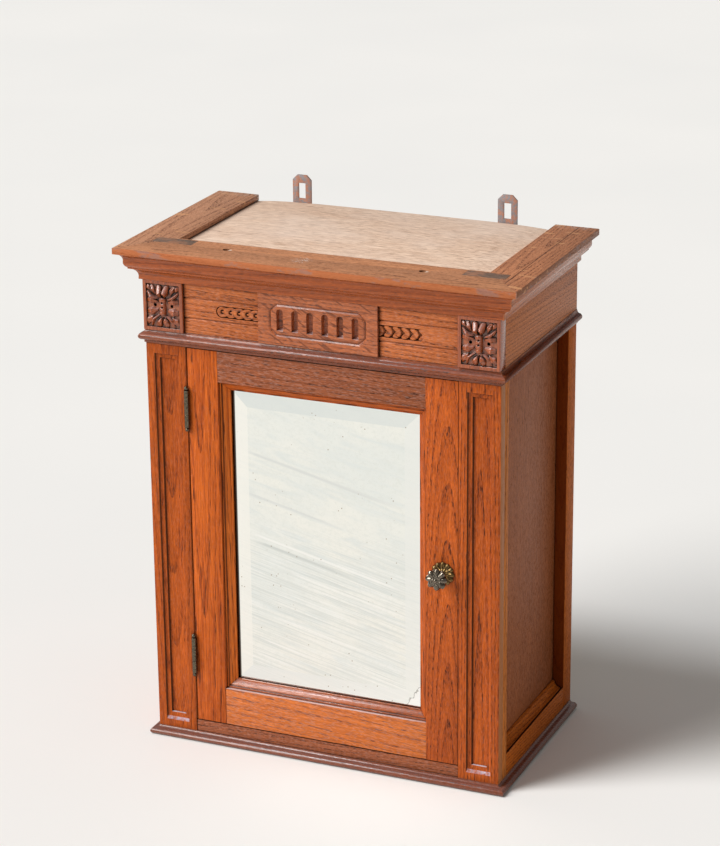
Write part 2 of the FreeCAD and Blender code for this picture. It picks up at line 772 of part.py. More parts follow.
def door_frame():
    depth = (FRONT, DOOR_BACK)
    height = (DOOR_FOOT, DOOR_HEAD)
    across = (SIGHT_LEFT, SIGHT_RIGHT)
    piece(board("door_left_stile", (DOOR_LEFT, SIGHT_LEFT), depth, height))
    blank = board("door_right_blank", (SIGHT_RIGHT, DOOR_RIGHT), depth, height)
    hole = rod("spindle_hole", "spindle_radius + spindle_clearance", "door_thickness",
               (KNOB_X, DOOR_BACK, KNOB_Z), TO_FRONT)
    piece(joined("Part::Cut", "door_right_stile", blank, hole))
    piece(board("door_top_rail", across, depth, (SIGHT_HEAD, DOOR_HEAD)))
    piece(board("door_bottom_rail", across, depth, (DOOR_FOOT, SIGHT_FOOT)))


SIGHT_SECTION = [
    ("0", "bead_depth"),
    ("bead_width", "bead_depth"),
    ("bead_width", "bead_depth + bead_step"),
    ("sight_width - lip_width", "mirror_depth - lip_depth"),
    ("sight_width", "mirror_depth - lip_depth"),
    ("sight_width", "mirror_depth"),
    ("0", "mirror_depth"),
]
SIGHT_BENDS = {2: ("sight_cove_radius", 1)}


def mirror_moulding(name):
    """One length of the moulding that covers the mirror's edge; its section runs inwards and backwards."""
    start, sign = {
        "left": (SIGHT_LEFT, 1),
        "right": (SIGHT_RIGHT, -1),
        "bottom": (SIGHT_FOOT, 1),
        "top": (SIGHT_HEAD, -1),
    }[name]
    inner_start = f"{start} + {sign} * sight_width"
    upright = name in SIDES
    corners = []
    for inwards, backwards in SIGHT_SECTION:
        across, depth = f"{start} + {sign} * ({inwards})", f"{FRONT} + {backwards}"
        corners.append((across, depth) if upright else (depth, across))
    turn = sign if upright else -sign
    bends = {index: (radius, bend * turn) for index, (radius, bend) in SIGHT_BENDS.items()}
    low, high = (SIGHT_FOOT, SIGHT_HEAD) if upright else (SIGHT_LEFT, SIGHT_RIGHT)
    run = prism(f"{name}_mirror_run", "XY_Plane" if upright else "YZ_Plane", corners, low, high, bends)
    plan = [
        (start, low),
        (inner_start, f"{low} + sight_width"),
        (inner_start, f"{high} - sight_width"),
        (start, high),
    ]
    if not upright:
        plan = [(along, across) for across, along in plan]
    mitre = prism(f"{name}_mirror_mitre", "XZ_Plane", plan, FRONT, GLASS_FACE)
    piece(joined("Part::Common", f"{name}_mirror_moulding", run, mitre))


def mirror():
    for name in SIDES + ("bottom", "top"):
        mirror_moulding(name)
    x = (f"{SIGHT_LEFT} + glass_clearance", f"{SIGHT_RIGHT} - glass_clearance")
    z = (f"{SIGHT_FOOT} + glass_clearance", f"{SIGHT_HEAD} - glass_clearance")
    bevel_back = f"{GLASS_FACE} + glass_bevel_depth"
    sheet_part = board("mirror_sheet", x, (bevel_back, GLASS_BACK), z)
    bevel = doc.addObject("Part::Wedge", "mirror_bevel")
    limits = {
        "Xmin": f"{x[0]} + glass_bevel_width",
        "Xmax": f"{x[1]} - glass_bevel_width",
        "Zmin": f"{z[0]} + glass_bevel_width",
        "Zmax": f"{z[1]} - glass_bevel_width",
        "X2min": x[0],
        "X2max": x[1],
        "Z2min": z[0],
        "Z2max": z[1],
        "Ymin": GLASS_FACE,
        "Ymax": bevel_back,
    }
    for limit, text in limits.items():
        bevel.setExpression(limit, bound(text))
    piece(joined("Part::Fuse", "mirror_glass", sheet_part, bevel))
    piece(board("mirror_back", (SIGHT_LEFT, SIGHT_RIGHT), (GLASS_BACK, DOOR_BACK), (SIGHT_FOOT, SIGHT_HEAD)))


# Hinges: three knuckles each, the outer two on the frame leaf and the middle one on the door leaf.

KNUCKLE = "leaf_height / 3"


def hinge_leaf(name, owner):
    """One leaf with its knuckles, and the screws that hold it."""
    label = f"{name}_{owner}_leaf"
    middle = HINGE_LEVELS[name]
    foot, head = f"{middle} - leaf_height / 2", f"{middle} + leaf_height / 2"
    if owner == "frame":
        span = (f"-({JAMB})", f"-({JAMB}) + leaf_thickness")
        exposed, turn = span[1], TO_LEFT
        knuckles = [(foot, f"{foot} + {KNUCKLE}"), (f"{head} - {KNUCKLE}", head)]
    else:
        span = (f"{DOOR_LEFT} - leaf_thickness", DOOR_LEFT)
        exposed, turn = span[0], TO_RIGHT
        knuckles = [(f"{foot} + {KNUCKLE} + knuckle_clearance", f"{head} - {KNUCKLE} - knuckle_clearance")]
    solids = [board(f"{label}_plate", span, (FRONT, LEAF_BACK), (foot, head))]
    for index, (low, high) in enumerate(knuckles):
        solids.append(board(f"{label}_web_{index}", span, (HINGE_Y, FRONT), (low, high)))
        axis_foot = (HINGE_X, HINGE_Y, low)
        solids.append(rod(f"{label}_knuckle_{index}", "barrel_radius", f"({high}) - ({low})", axis_foot))
    blank = doc.addObject("Part::MultiFuse", f"{label}_blank")
    blank.Shapes = solids
    bore = "pin_radius + pin_clearance" if owner == "door" else "pin_radius"
    cuts = [rod(f"{label}_bore", bore, "leaf_height", (HINGE_X, HINGE_Y, foot))]
    screws = []
    for index in (-1, 0, 1):
        place = (exposed, f"({FRONT} + {LEAF_BACK}) / 2", f"{middle} + {index} * screw_pitch")
        driven, countersink = screw(f"{label}_screw_{index + 1}", "leaf_thickness", "screw_length", place,
                                    turn)
        screws.append(driven)
        cuts.append(countersink)
    return joined("Part::Cut", label, blank, group(f"{label}_cuts", cuts)), screws


def hinge_pin(name):
    """A pin with a ball tip seated on each end of the barrel."""
    middle = HINGE_LEVELS[name]
    foot, head = f"{middle} - leaf_height / 2", f"{middle} + leaf_height / 2"
    solids = [rod(f"{name}_pin_shaft", "pin_radius", "leaf_height", (HINGE_X, HINGE_Y, foot))]
    for end, place in (("foot", f"{foot} - pin_tip_radius"), ("head", f"{head} + pin_tip_radius")):
        tip = doc.addObject("Part::Sphere", f"{name}_pin_{end}")
        tip.setExpression("Radius", bound("pin_tip_radius"))
        place_at(tip, (HINGE_X, HINGE_Y, place), None)
        solids.append(tip)
        neck = place if end == "foot" else head
        solids.append(rod(f"{name}_pin_{end}_neck", "pin_radius", "pin_tip_radius", (HINGE_X, HINGE_Y, neck)))
    pin = doc.addObject("Part::MultiFuse", f"{name}_hinge_pin")
    pin.Shapes = solids
    return pin


def hinges():
    for owner in ("frame", "door"):
        leaves = []
        screws = []
        for name in UPPER_LOWER:
            leaf, driven = hinge_leaf(name, owner)
            leaves.append(leaf)
            screws += driven
        piece(group(f"hinge_{owner}_leaves", leaves))
        piece(group(f"{owner}_hinge_screws", screws))
    piece(group("hinge_pins", [hinge_pin(name) for name in UPPER_LOWER]))


# Knob: a turned head on a spindle that carries the latch tongue behind the door.

def turned(label, corners, bends=None):
    """A body turned round the knob's axis from (radius, depth) corners."""
    body = doc.addObject("PartDesign::Body", label)
    sketch = outline(body, "XY_Plane", corners, "0", bends or {})
    spin = body.newObject("PartDesign::Revolution", f"{label}_spin")
    spin.Profile = sketch
    spin.ReferenceAxis = (sketch, ["V_Axis"])
    spin.Angle = 360
    place_at(body, (KNOB_X, "0", KNOB_Z), None)
    return body


def square(size):
    """A square round the knob's axis."""
    return rectangle((f"-{size} / 2", f"{size} / 2"), (f"-{size} / 2", f"{size} / 2"))


def round_outline(radius):
    """A circle round the knob's axis, as four quarter arcs."""
    corners = [("0", f"-{radius}"), (radius, "0"), ("0", radius), (f"-{radius}", "0")]
    return corners, {index: (radius, 1) for index in range(4)}


def knob_and_latch():
    bore = "spindle_radius + spindle_clearance"
    rose_face = f"{FRONT} - rose_thickness"
    rose = [
        (bore, FRONT),
        ("rose_radius", FRONT),
        ("rose_radius", f"{FRONT} - rose_edge"),
        ("knob_radius", rose_face),
        (bore, rose_face),
    ]
    piece(turned("knob_rose", rose))
    knob_front = f"{FRONT} - knob_projection"
    head_back = f"{knob_front} + knob_head_thickness"
    neck_back = f"{rose_face} - spindle_clearance"
    dome = "knob_radius - knob_edge_radius"
    profile = [
        ("0", knob_front),
        ("0", TONGUE_FACE),
        ("spindle_radius", TONGUE_FACE),
        ("spindle_radius", neck_back),
        ("knob_neck_radius", neck_back),
        ("knob_neck_radius", head_back),
        ("knob_radius", f"{knob_front} + knob_edge_radius"),
        (dome, knob_front),
    ]
    knob = turned("knob", profile, {6: ("knob_edge_radius", -1)})
    add_prism(knob, "XZ_Plane", square("spindle_square"), TONGUE_FACE, TONGUE_BACK)
    thread, thread_bends = round_outline("thread_radius")
    add_prism(knob, "XZ_Plane", thread, TONGUE_BACK, f"{TONGUE_BACK} + nut_thickness", thread_bends)
    piece(knob)
    shoulder = "tongue_width / 2"
    corners = [
        (shoulder, "0"),
        ("0", shoulder),
        (f"-{shoulder}", "0"),
        (f"-{shoulder}", "-tongue_reach"),
        (shoulder, "-tongue_reach"),
    ]
    tongue = prism("latch_tongue", "XZ_Plane", corners, TONGUE_FACE, TONGUE_BACK,
                   {0: (shoulder, 1), 1: (shoulder, 1)})
    sink(tongue, "XZ_Plane", square("spindle_square"), TONGUE_FACE, TONGUE_BACK)
    piece(tongue)
    nut_back = f"{TONGUE_BACK} + nut_thickness"
    angles = [2 * math.pi * step / NUT_SIDES for step in range(NUT_SIDES)]
    hexagon = [(f"{math.cos(angle):.6f} * nut_radius", f"{math.sin(angle):.6f} * nut_radius")
               for angle in angles]
    nut = prism("latch_nut", "XZ_Plane", hexagon, TONGUE_BACK, nut_back)
    sink(nut, "XZ_Plane", thread, TONGUE_BACK, nut_back, thread_bends)
    piece(nut)
    for part in (tongue, nut):
        place_at(part, (KNOB_X, "0", KNOB_Z), None)


base_board()
carcass()
for edge_side in SIDES:
    carved_block(edge_side)
    frieze_strip(edge_side)
frieze_tablet()
mitred_set("mid_moulding", MID_SECTION, MID_BENDS, PILASTER_TOP, "mid_height", "mid_projection",
           "pilaster_thickness")
mitred_set("cornice", CORNICE_SECTION, CORNICE_BENDS, FRIEZE_HEAD, "cornice_height", CORNICE_OUT, "0")
top()
hangers()
shelves()
door_frame()
mirror()
hinges()
knob_and_latch()
doc.recompute()

for thing in doc.Objects:
    if {"Invalid", "Error"} & set(thing.State):
        raise RuntimeError(f"{thing.Label}: {thing.State}")
for thing in pieces:
    if thing.Shape.isNull() or not thing.Shape.isValid():
        raise RuntimeError(f"{thing.Label}: no sound shape")

os.makedirs("parts", exist_ok=True)
for thing in pieces:
    thing.Shape.exportStep(f"parts/{thing.Label}.step")
print(len(pieces), "sub-parts written")
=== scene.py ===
"""Looks of the oak wall cabinet: worn stained oak, carved frieze, aged mirror, brass and iron."""
import json
import math
import random

import bmesh
import bpy
from mathutils import Euler, Matrix, Vector

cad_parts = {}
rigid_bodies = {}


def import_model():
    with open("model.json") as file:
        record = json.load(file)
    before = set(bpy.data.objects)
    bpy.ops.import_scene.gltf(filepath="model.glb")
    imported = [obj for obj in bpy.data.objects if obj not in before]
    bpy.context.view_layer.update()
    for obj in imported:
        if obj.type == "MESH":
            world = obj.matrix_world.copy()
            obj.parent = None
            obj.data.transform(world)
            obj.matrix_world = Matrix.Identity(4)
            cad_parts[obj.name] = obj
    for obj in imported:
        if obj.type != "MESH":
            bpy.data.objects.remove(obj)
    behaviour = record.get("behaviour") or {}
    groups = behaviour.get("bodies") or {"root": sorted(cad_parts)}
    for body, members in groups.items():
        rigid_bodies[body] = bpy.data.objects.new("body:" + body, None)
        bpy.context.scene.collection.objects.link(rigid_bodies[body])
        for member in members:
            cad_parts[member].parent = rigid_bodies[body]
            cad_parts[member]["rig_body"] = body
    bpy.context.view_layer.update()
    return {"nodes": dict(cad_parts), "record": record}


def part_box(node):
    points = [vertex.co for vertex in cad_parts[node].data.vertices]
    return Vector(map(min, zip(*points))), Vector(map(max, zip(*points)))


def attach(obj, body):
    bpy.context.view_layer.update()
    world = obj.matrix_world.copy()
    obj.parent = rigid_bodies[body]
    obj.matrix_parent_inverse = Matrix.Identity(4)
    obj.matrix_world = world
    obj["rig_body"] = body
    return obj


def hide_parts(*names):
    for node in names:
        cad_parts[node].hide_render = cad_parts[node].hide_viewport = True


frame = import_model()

MM = 0.001
SIDES = ("left", "right")

# Camera, as it stood for the photograph.
CAMERA_YAW = math.radians(23.37)
CAMERA_PITCH = math.radians(19.26)
CAMERA_ROLL = math.radians(-0.57)
CAMERA_DISTANCE = 3.2932
CAMERA_TARGET = Vector((-0.0052, 0.0, 0.3822))
FOCAL_PIXELS = 2802.0
IMAGE_HEIGHT = 846
SENSOR = 36.0

# Mesh work.
MERGE = 0.002 * MM
FLAT_ANGLE = math.radians(0.3)
SHARP_ANGLE = math.radians(28)
SMOOTH_ANGLE = math.radians(35)
CARVED_ANGLE = math.radians(75)
FULL_TURN = 2 * math.pi
QUARTER_TURN = math.pi / 2

# Stains: the wood between the pores, its darker late growth, and the pores.
RED = ((0.62, 0.128, 0.014), (0.40, 0.067, 0.008), (0.112, 0.022, 0.005))
DEEP_RED = ((0.49, 0.098, 0.012), (0.28, 0.048, 0.007), (0.072, 0.015, 0.005))
RIGHT_RED = ((0.56, 0.114, 0.015), (0.35, 0.060, 0.008), (0.085, 0.018, 0.005))
ORANGE = ((0.64, 0.172, 0.036), (0.47, 0.110, 0.022), (0.170, 0.062, 0.044))
BROWN = ((0.50, 0.140, 0.046), (0.29, 0.070, 0.022), (0.085, 0.022, 0.009))
DULL_BROWN = ((0.36, 0.108, 0.044), (0.22, 0.060, 0.025), (0.075, 0.022, 0.011))
FRIEZE_BROWN = ((0.60, 0.178, 0.056), (0.38, 0.088, 0.022), (0.095, 0.024, 0.009))
DARK_BROWN = ((0.215, 0.050, 0.017), (0.125, 0.027, 0.009), (0.040, 0.011, 0.006))
MOULDING_BROWN = ((0.28, 0.068, 0.023), (0.16, 0.035, 0.012), (0.050, 0.013, 0.006))
CARVED_BROWN = ((0.39, 0.086, 0.018), (0.22, 0.042, 0.009), (0.060, 0.014, 0.005))
CORNICE_BROWN = ((0.43, 0.104, 0.026), (0.26, 0.054, 0.014), (0.080, 0.020, 0.008))
# painted light: a brighter stain for the left mirror moulding, which faces away from the light
PAINTED_LIGHT_ORANGE = ((0.78, 0.185, 0.022), (0.56, 0.112, 0.012), (0.160, 0.034, 0.007))
# painted shade: the next four stains and the side cornice stain below are darker, warmer copies for the right
# side, in its shade and warm bounce light
SHADED_POST = ((0.66, 0.215, 0.045), (0.45, 0.128, 0.026), (0.120, 0.036, 0.012))
SHADED_SIDE_FRIEZE = ((0.56, 0.185, 0.058), (0.37, 0.112, 0.034), (0.120, 0.037, 0.014))
SHADED = ((0.42, 0.132, 0.044), (0.27, 0.080, 0.027), (0.090, 0.027, 0.011))
SHADED_SIDE_RAIL = ((0.58, 0.146, 0.018), (0.37, 0.082, 0.010), (0.100, 0.024, 0.007))
WEATHERED = ((0.64, 0.285, 0.140), (0.43, 0.165, 0.075), (0.140, 0.052, 0.025))
WORN_BROWN = ((0.51, 0.208, 0.100), (0.33, 0.120, 0.056), (0.105, 0.040, 0.021))
GREYED_BROWN = ((0.62, 0.305, 0.175), (0.43, 0.185, 0.098), (0.150, 0.062, 0.034))
SHADED_SIDE_CORNICE = ((0.54, 0.175, 0.062), (0.34, 0.098, 0.034), (0.100, 0.030, 0.013))
DUSTY = ((0.90, 0.675, 0.515), (0.70, 0.455, 0.320), (0.28, 0.150, 0.090))
BARE = ((0.52, 0.33, 0.18), (0.38, 0.23, 0.12), (0.20, 0.11, 0.06))
GREYED = ((0.235, 0.150, 0.110), (0.155, 0.094, 0.068), (0.060, 0.036, 0.026))

# painted shade and grime: darkens corners, creases, quirks, dowel holes and the pilasters' shaded panel
# lines; also dark joint lines
SHADE_AND_GRIME = (0.034, 0.012, 0.006)
RUBBED = (0.66, 0.235, 0.085)
SCUFFED = (0.42, 0.33, 0.31)
SHEEN = (0.56, 0.38, 0.33)
# painted highlight: the pale colour put on upward slopes, standing for light from above
UPWARD_HIGHLIGHT = (0.62, 0.57, 0.60)

# Sockets of a Mix node that mixes colours.
MIX_FACTOR = 0
MIX_FIRST = 6
MIX_SECOND = 7
MIX_RESULT = 2

# How closely a material feels for corners and edges.
COARSE_SAMPLES = 4
FINE_SAMPLES = 8


class Wire:
    """An output of a node; arithmetic on wires adds Math nodes."""

    def __init__(self, finish, socket):
        self.finish = finish
        self.socket = socket

    def math(self, operation, first, second):
        return self.finish.node("ShaderNodeMath", {"operation": operation}, {0: first, 1: second})

    def __add__(self, other):
        return self.math("ADD", self, other)

    def __radd__(self, other):
        return self.math("ADD", other, self)

    def __sub__(self, other):
        return self.math("SUBTRACT", self, other)

    def __rsub__(self, other):
        return self.math("SUBTRACT", other, self)

    def __mul__(self, other):
        return self.math("MULTIPLY", self, other)

    def __rmul__(self, other):
        return self.math("MULTIPLY", other, self)

    def least(self, other):
        return self.math("MINIMUM", self, other)


class Finish:
    """A procedural material in the making."""

    def __init__(self, name):
        self.material = bpy.data.materials.new(name)
        self.material.use_nodes = True
        self.tree = self.material.node_tree
        self.tree.nodes.clear()

    def node(self, kind, settings, inputs, out=0):
        """Adds a node, sets it up, feeds its sockets and gives one of its outputs, if it has any."""
        made = self.tree.nodes.new(kind)
        for name, setting in settings.items():
            setattr(made, name, setting)
        for name, value in inputs.items():
            socket = made.inputs[name]
            if isinstance(value, Wire):
                self.tree.links.new(value.socket, socket)
            elif socket.type == "RGBA" and len(value) == 3:
                socket.default_value = (*value, 1)
            else:
                socket.default_value = value
        return Wire(self, made.outputs[out]) if made.outputs else None

    def place(self):
        """Where a point of the surface lies, in the shared frame."""
        return self.node("ShaderNodeTexCoord", {}, {}, "Object")

    def stretched(self, vector, factors):
        return self.node("ShaderNodeVectorMath", {"operation": "MULTIPLY"}, {0: vector, 1: factors})

    def noise(self, vector, scale, detail=2.0, roughness=0.5):
        sockets = {"Vector": vector, "Scale": scale, "Detail": detail, "Roughness": roughness}
        return self.node("ShaderNodeTexNoise", {}, sockets)

    def between(self, value, low, high):
        """0 at low and 1 at high, with an even slope."""
        sockets = {"Value": value, "From Min": low, "From Max": high}
        return self.node("ShaderNodeMapRange", {"clamp": True}, sockets)

    def capped(self, value):
        """The value, kept between 0 and 1."""
        return self.between(value, 0.0, 1.0)

    def patchy(self, vector, pattern):
        """Noise cut to a range; a pattern is its low cut, high cut, scale, detail and roughness."""
        low, high, *noise = pattern
        return self.between(self.noise(vector, *noise), low, high)

    def line(self, gap, half, core=0.0):
        """A line where the gap is 0: 1 within its core, fading to 0 at its half width."""
        return self.between(gap * gap, half ** 2, core ** 2)

    def spot(self, vector, centre, radius, core):
        """A round spot: 1 within its core, fading to 0 at its radius."""
        settings = {"operation": "DISTANCE"}
        distance = self.node("ShaderNodeVectorMath", settings, {0: vector, 1: centre}, "Value")
        return self.between(distance, radius, core)

    def part(self, vector, axis):
        """One coordinate of a vector."""
        return self.node("ShaderNodeSeparateXYZ", {}, {"Vector": vector}, axis)

    def facing(self, axis):
        """How far a point faces along an axis: 1 straight along it, -1 straight against it."""
        return self.part(self.node("ShaderNodeNewGeometry", {}, {}, "Normal"), axis)

    def turned(self, angles):
        """The place, turned about the frame's axes."""
        return self.node("ShaderNodeMapping", {}, {"Vector": self.place(), "Rotation": angles})

    def drawn_out(self, vector, share):
        """A board's place, with what is drawn on it lengthened along the grain."""
        return self.stretched(vector, (1, 1, share))

    def mix(self, factor, first, second, blend="MIX"):
        settings = {"data_type": "RGBA", "blend_type": blend}
        sockets = {MIX_FACTOR: factor, MIX_FIRST: first, MIX_SECOND: second}
        return self.node("ShaderNodeMix", settings, sockets, MIX_RESULT)

    def corners(self, distance, samples=COARSE_SAMPLES):
        """How deep a point lies in a corner or a cut, from 0 to 1."""
        settings = {"samples": samples}
        return 1 - self.node("ShaderNodeAmbientOcclusion", settings, {"Distance": distance}, "AO")

    def edges(self, distance):
        """How near a point lies to a proud edge, from 0 to 1."""
        settings = {"samples": COARSE_SAMPLES, "inside": True, "only_local": True}
        return 1 - self.node("ShaderNodeAmbientOcclusion", settings, {"Distance": distance}, "AO")

    def bump(self, height, distance, strength):
        return self.node("ShaderNodeBump", {}, {"Strength": strength, "Distance": distance, "Height": height})

    def surface(self, sockets):
        """Ends the material in one surface shader."""
        shader = self.node("ShaderNodeBsdfPrincipled", {}, sockets)
        self.node("ShaderNodeOutputMaterial", {}, {"Surface": shader})
        return self.material


# Oak: the grain runs along one axis of the frame, with the tree's heart a little behind the board.

GRAIN_TURNS = {"X": (0, -QUARTER_TURN, 0), "Y": (QUARTER_TURN, 0, 0), "Z": (0, 0, 0)}
HEART_TILT = math.radians(2.6)
STRAIGHT_TILT = math.radians(0.8)
TILT_SHARE = (0.5, 1.4)
HEART_ASIDE = (-9, 9)
HEART_BEHIND = (14, 34)
HEART_ALONG = (0, 900)

# Growth rings, and how long each pattern is along the grain.
RING_SCALE = 80.0
RING_SWAY = 5.0
STRAIGHT_SWAY = 1.5
RING_DETAIL = {"Detail": 2.0, "Detail Scale": 0.45}
LATE_GROWTH = (0.30, 0.95)
POROUS_GROWTH = (0.62, 0.95)
RING_STRETCH = 0.05
STRAIGHT_STRETCH = 0.010
TONE_STRETCH = 0.2
LINE_STRETCH = 0.018
GLINT_STRETCH = 0.20
SHORT_PORES = 0.22
STRAIGHT_PORES = 0.045

# Patterns in the wood: low cut, high cut, scale, detail and roughness.
TONES = (0.30, 0.70, 16.0, 3.0)
GRAIN_STREAKS = (0.48, 0.72, 330.0, 3.0, 0.6)
GRAIN_LINES = (0.38, 0.62, 560.0, 2.0)
PORES = (0.52, 0.61, 1000.0, 1.0)
FLECKS = (0.52, 0.64, 780.0, 2.0)
GLINTS = (0.50, 0.66, 1050.0, 1.0)
RAYS = (0.58, 0.64, 230.0, 1.0)
RAY_TURN = (0, math.radians(-30), 0)
RAY_STRETCH = (0.13, 1, 1)
RUB_PATCHES = (0.35, 0.75, 45.0, 4.0, 0.65)
FIBRE_SCALE = 2400.0

# How much of each pattern shows.
LATE_SHARE = 0.30
TONE_SHARE = 0.28
LINE_SHARE = 0.46
STRAIGHT_LINE_SHARE = 0.62
FLECK_SHARE = 0.45
FLECK_LIFT = 1.30
RAY_SHADE = 0.55
PORE_SHARE = 0.24
RING_PORE_SHARE = 0.66
RING_SHARE = 0.16
STREAK_SHARE = 0.18

# Worn edges, corners darkened by dirt and painted shade, painted highlights on upward slopes, and polish.
EDGE_REACH = 1.4 * MM
EDGE_WEAR = (0.25, 0.75)
SHADED_CREVICES = (0.16, 0.48)
CORNER_REACH = 7 * MM
SHADED_DEEP_CORNERS = (0.45, 1.0)
HIGHLIGHT_SLOPE = (0.38, 0.74)
HIGHLIGHT_BREAKS = (0.25, 0.75)
HIGHLIGHT_LINES = 0.4
PORE_ROUGHNESS = 0.16
FIBRE_ROUGHNESS = 0.20
POLISH = 0.12
FIBRE_HEIGHT = 0.5
PORE_DEPTH = 0.9
STREAK_DEPTH = 0.3
GRAIN_DEPTH = 0.35 * MM


def grain_place(finish, node, grain, tilt):
    """Object coordinates turned so that the board's grain runs along Z, with the heart near its middle."""
    draw = random.Random(node)
    turn = Vector(GRAIN_TURNS[grain])
    turn["XYZ".index("Y" if grain == "X" else "X")] += tilt * draw.choice((-1, 1)) * draw.uniform(*TILT_SHARE)
    low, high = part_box(node)
    heart = Vector([draw.uniform(*reach) for reach in (HEART_ASIDE, HEART_BEHIND, HEART_ALONG)]) * MM
    shift = heart - Euler(turn).to_matrix() @ ((low + high) / 2)
    sockets = {"Vector": finish.place(), "Rotation": turn, "Location": shift}
    return finish.node("ShaderNodeMapping", {}, sockets)


def toned(colour, factor):
    return tuple(factor * part for part in colour)


def oak(node, grain, stain, straight=False, dash=SHORT_PORES, open_grain=1.0, sheen=0.0, rays=0.0,
        wear=0.4, rub=RUBBED, corner_dirt_and_shade=0.6, reach=2.5, deep_grime_and_shade=0.35, dust=0.0, gloss=0.42, shine=0.13,
        rough_cut=0.4, marks=None):
    """Stained oak with growth rings, fine lines, dark pores, dirt and painted shade in its corners, rubbed
    edges, painted glints and painted highlights.
    """
    wood, late, pore = stain
    finish = Finish(f"{node}_oak")
    place = grain_place(finish, node, grain, STRAIGHT_TILT if straight else HEART_TILT)
    along = finish.drawn_out(place, STRAIGHT_STRETCH if straight else RING_STRETCH)
    sway = STRAIGHT_SWAY if straight else RING_SWAY
    ring_sockets = {"Vector": along, "Scale": RING_SCALE, "Distortion": sway} | RING_DETAIL
    ring_settings = {"wave_type": "RINGS", "rings_direction": "Z", "wave_profile": "SAW"}
    rings = finish.node("ShaderNodeTexWave", ring_settings, ring_sockets, "Fac")
    late_growth = finish.between(rings, *LATE_GROWTH)
    porous = finish.between(rings, *POROUS_GROWTH)
    tone = finish.patchy(finish.drawn_out(place, TONE_STRETCH), TONES)
    streaks = finish.patchy(along, GRAIN_STREAKS)
    lines = finish.patchy(finish.drawn_out(place, LINE_STRETCH), GRAIN_LINES)
    short = finish.drawn_out(place, dash)
    pores = finish.patchy(short, PORES)
    flecks = finish.patchy(short, FLECKS)
    fibres = finish.noise(short, FIBRE_SCALE)
    line_share = STRAIGHT_LINE_SHARE if straight else LINE_SHARE
    colour = finish.mix(late_growth * LATE_SHARE + tone * TONE_SHARE + lines * line_share, wood, late)
    colour = finish.mix(flecks * FLECK_SHARE, colour, toned(wood, FLECK_LIFT))
    holes = pores * (PORE_SHARE + RING_PORE_SHARE * porous) + porous * RING_SHARE + streaks * STREAK_SHARE
    colour = finish.mix(finish.capped(holes * open_grain), colour, pore)
    if sheen:
        glints = finish.patchy(finish.drawn_out(place, GLINT_STRETCH), GLINTS)
        colour = finish.mix(glints * sheen, colour, SHEEN)
    if rays:
        ray = finish.patchy(finish.stretched(finish.turned(RAY_TURN), RAY_STRETCH), RAYS)
        colour = finish.mix(ray * rays, colour, toned(late, RAY_SHADE))
    if marks:
        colour = marks(finish, colour)
    patches = finish.patchy(finish.place(), RUB_PATCHES)
    rubbed = finish.between(finish.edges(EDGE_REACH), *EDGE_WEAR) * patches * wear
    colour = finish.mix(rubbed, colour, rub)
    # painted shade with dirt: corners and creases darkened where shade falls
    shaded_crevice = finish.between(finish.corners(reach * MM, FINE_SAMPLES), *SHADED_CREVICES) * corner_dirt_and_shade
    if deep_grime_and_shade:
        shaded_crevice = finish.between(finish.corners(CORNER_REACH), *SHADED_DEEP_CORNERS) * deep_grime_and_shade + shaded_crevice
    shaded_crevice = finish.capped(shaded_crevice)
    colour = finish.mix(shaded_crevice, colour, SHADE_AND_GRIME)
    # painted highlight: upward slopes made paler, except in the shaded corners
    if dust:
        lit_slopes = finish.between(finish.facing("Z"), *HIGHLIGHT_SLOPE)
        lit_slopes = lit_slopes * finish.between(fibres + lines * HIGHLIGHT_LINES, *HIGHLIGHT_BREAKS)
        colour = finish.mix(lit_slopes * (1 - shaded_crevice) * dust, colour, UPWARD_HIGHLIGHT)
    height = fibres * FIBRE_HEIGHT - pores * PORE_DEPTH - streaks * STREAK_DEPTH
    sockets = {
        "Base Color": colour,
        "Roughness": pores * PORE_ROUGHNESS + fibres * FIBRE_ROUGHNESS + (gloss - POLISH),
        "Specular IOR Level": shine,
        "Normal": finish.bump(height, GRAIN_DEPTH, rough_cut),
    }
    return finish.surface(sockets)


# Marks on single boards.

SCRATCHED_SPOT = Vector((-22, -120, 611)) * MM
SCRATCH_REACH = 14 * MM
SCRATCH_CORE = SCRATCH_REACH / 3
SCRATCH_TURN = (0, 0, math.radians(50))
SCRATCH_STRETCH = (0.16, 1, 1)
SCRATCHES = (0.56, 0.62, 900.0, 1.0)
SCRATCHED = (0.80, 0.66, 0.57)


def nail_scratches(finish, colour):
    """A small cluster of pale scratches on the front top board."""
    near = finish.spot(finish.place(), SCRATCHED_SPOT, SCRATCH_REACH, SCRATCH_CORE)
    dashes = finish.patchy(finish.stretched(finish.turned(SCRATCH_TURN), SCRATCH_STRETCH), SCRATCHES)
    return finish.mix(near * dashes, colour, SCRATCHED)


FADED_PATCHES = (0.46, 0.62, 60.0, 3.0, 0.6)
FADED_SHARE = 0.6


def faded(finish, colour):
    """Marks for the corner keys: the grey has worn off in patches."""
    return finish.mix(finish.patchy(finish.place(), FADED_PATCHES) * FADED_SHARE, colour, GREYED_BROWN[1])


DOWEL_HOLES = (Vector((-119.5, -111.5, 0)) * MM, Vector((119.5, -111.5, 0)) * MM)
DOWEL_RADIUS = 4.3 * MM
DOWEL_CORE = 0.9 * DOWEL_RADIUS
DOWEL_SHARE = 0.85
CHIP = (0.80, 0.62, 0.50)
CHIP_SHIFT = Vector((4.6, -0.6, 0)) * MM
CHIP_RADIUS = 3.2 * MM
CHIP_CORE = 0.6 * CHIP_RADIUS
CHIP_SHARE = 0.75


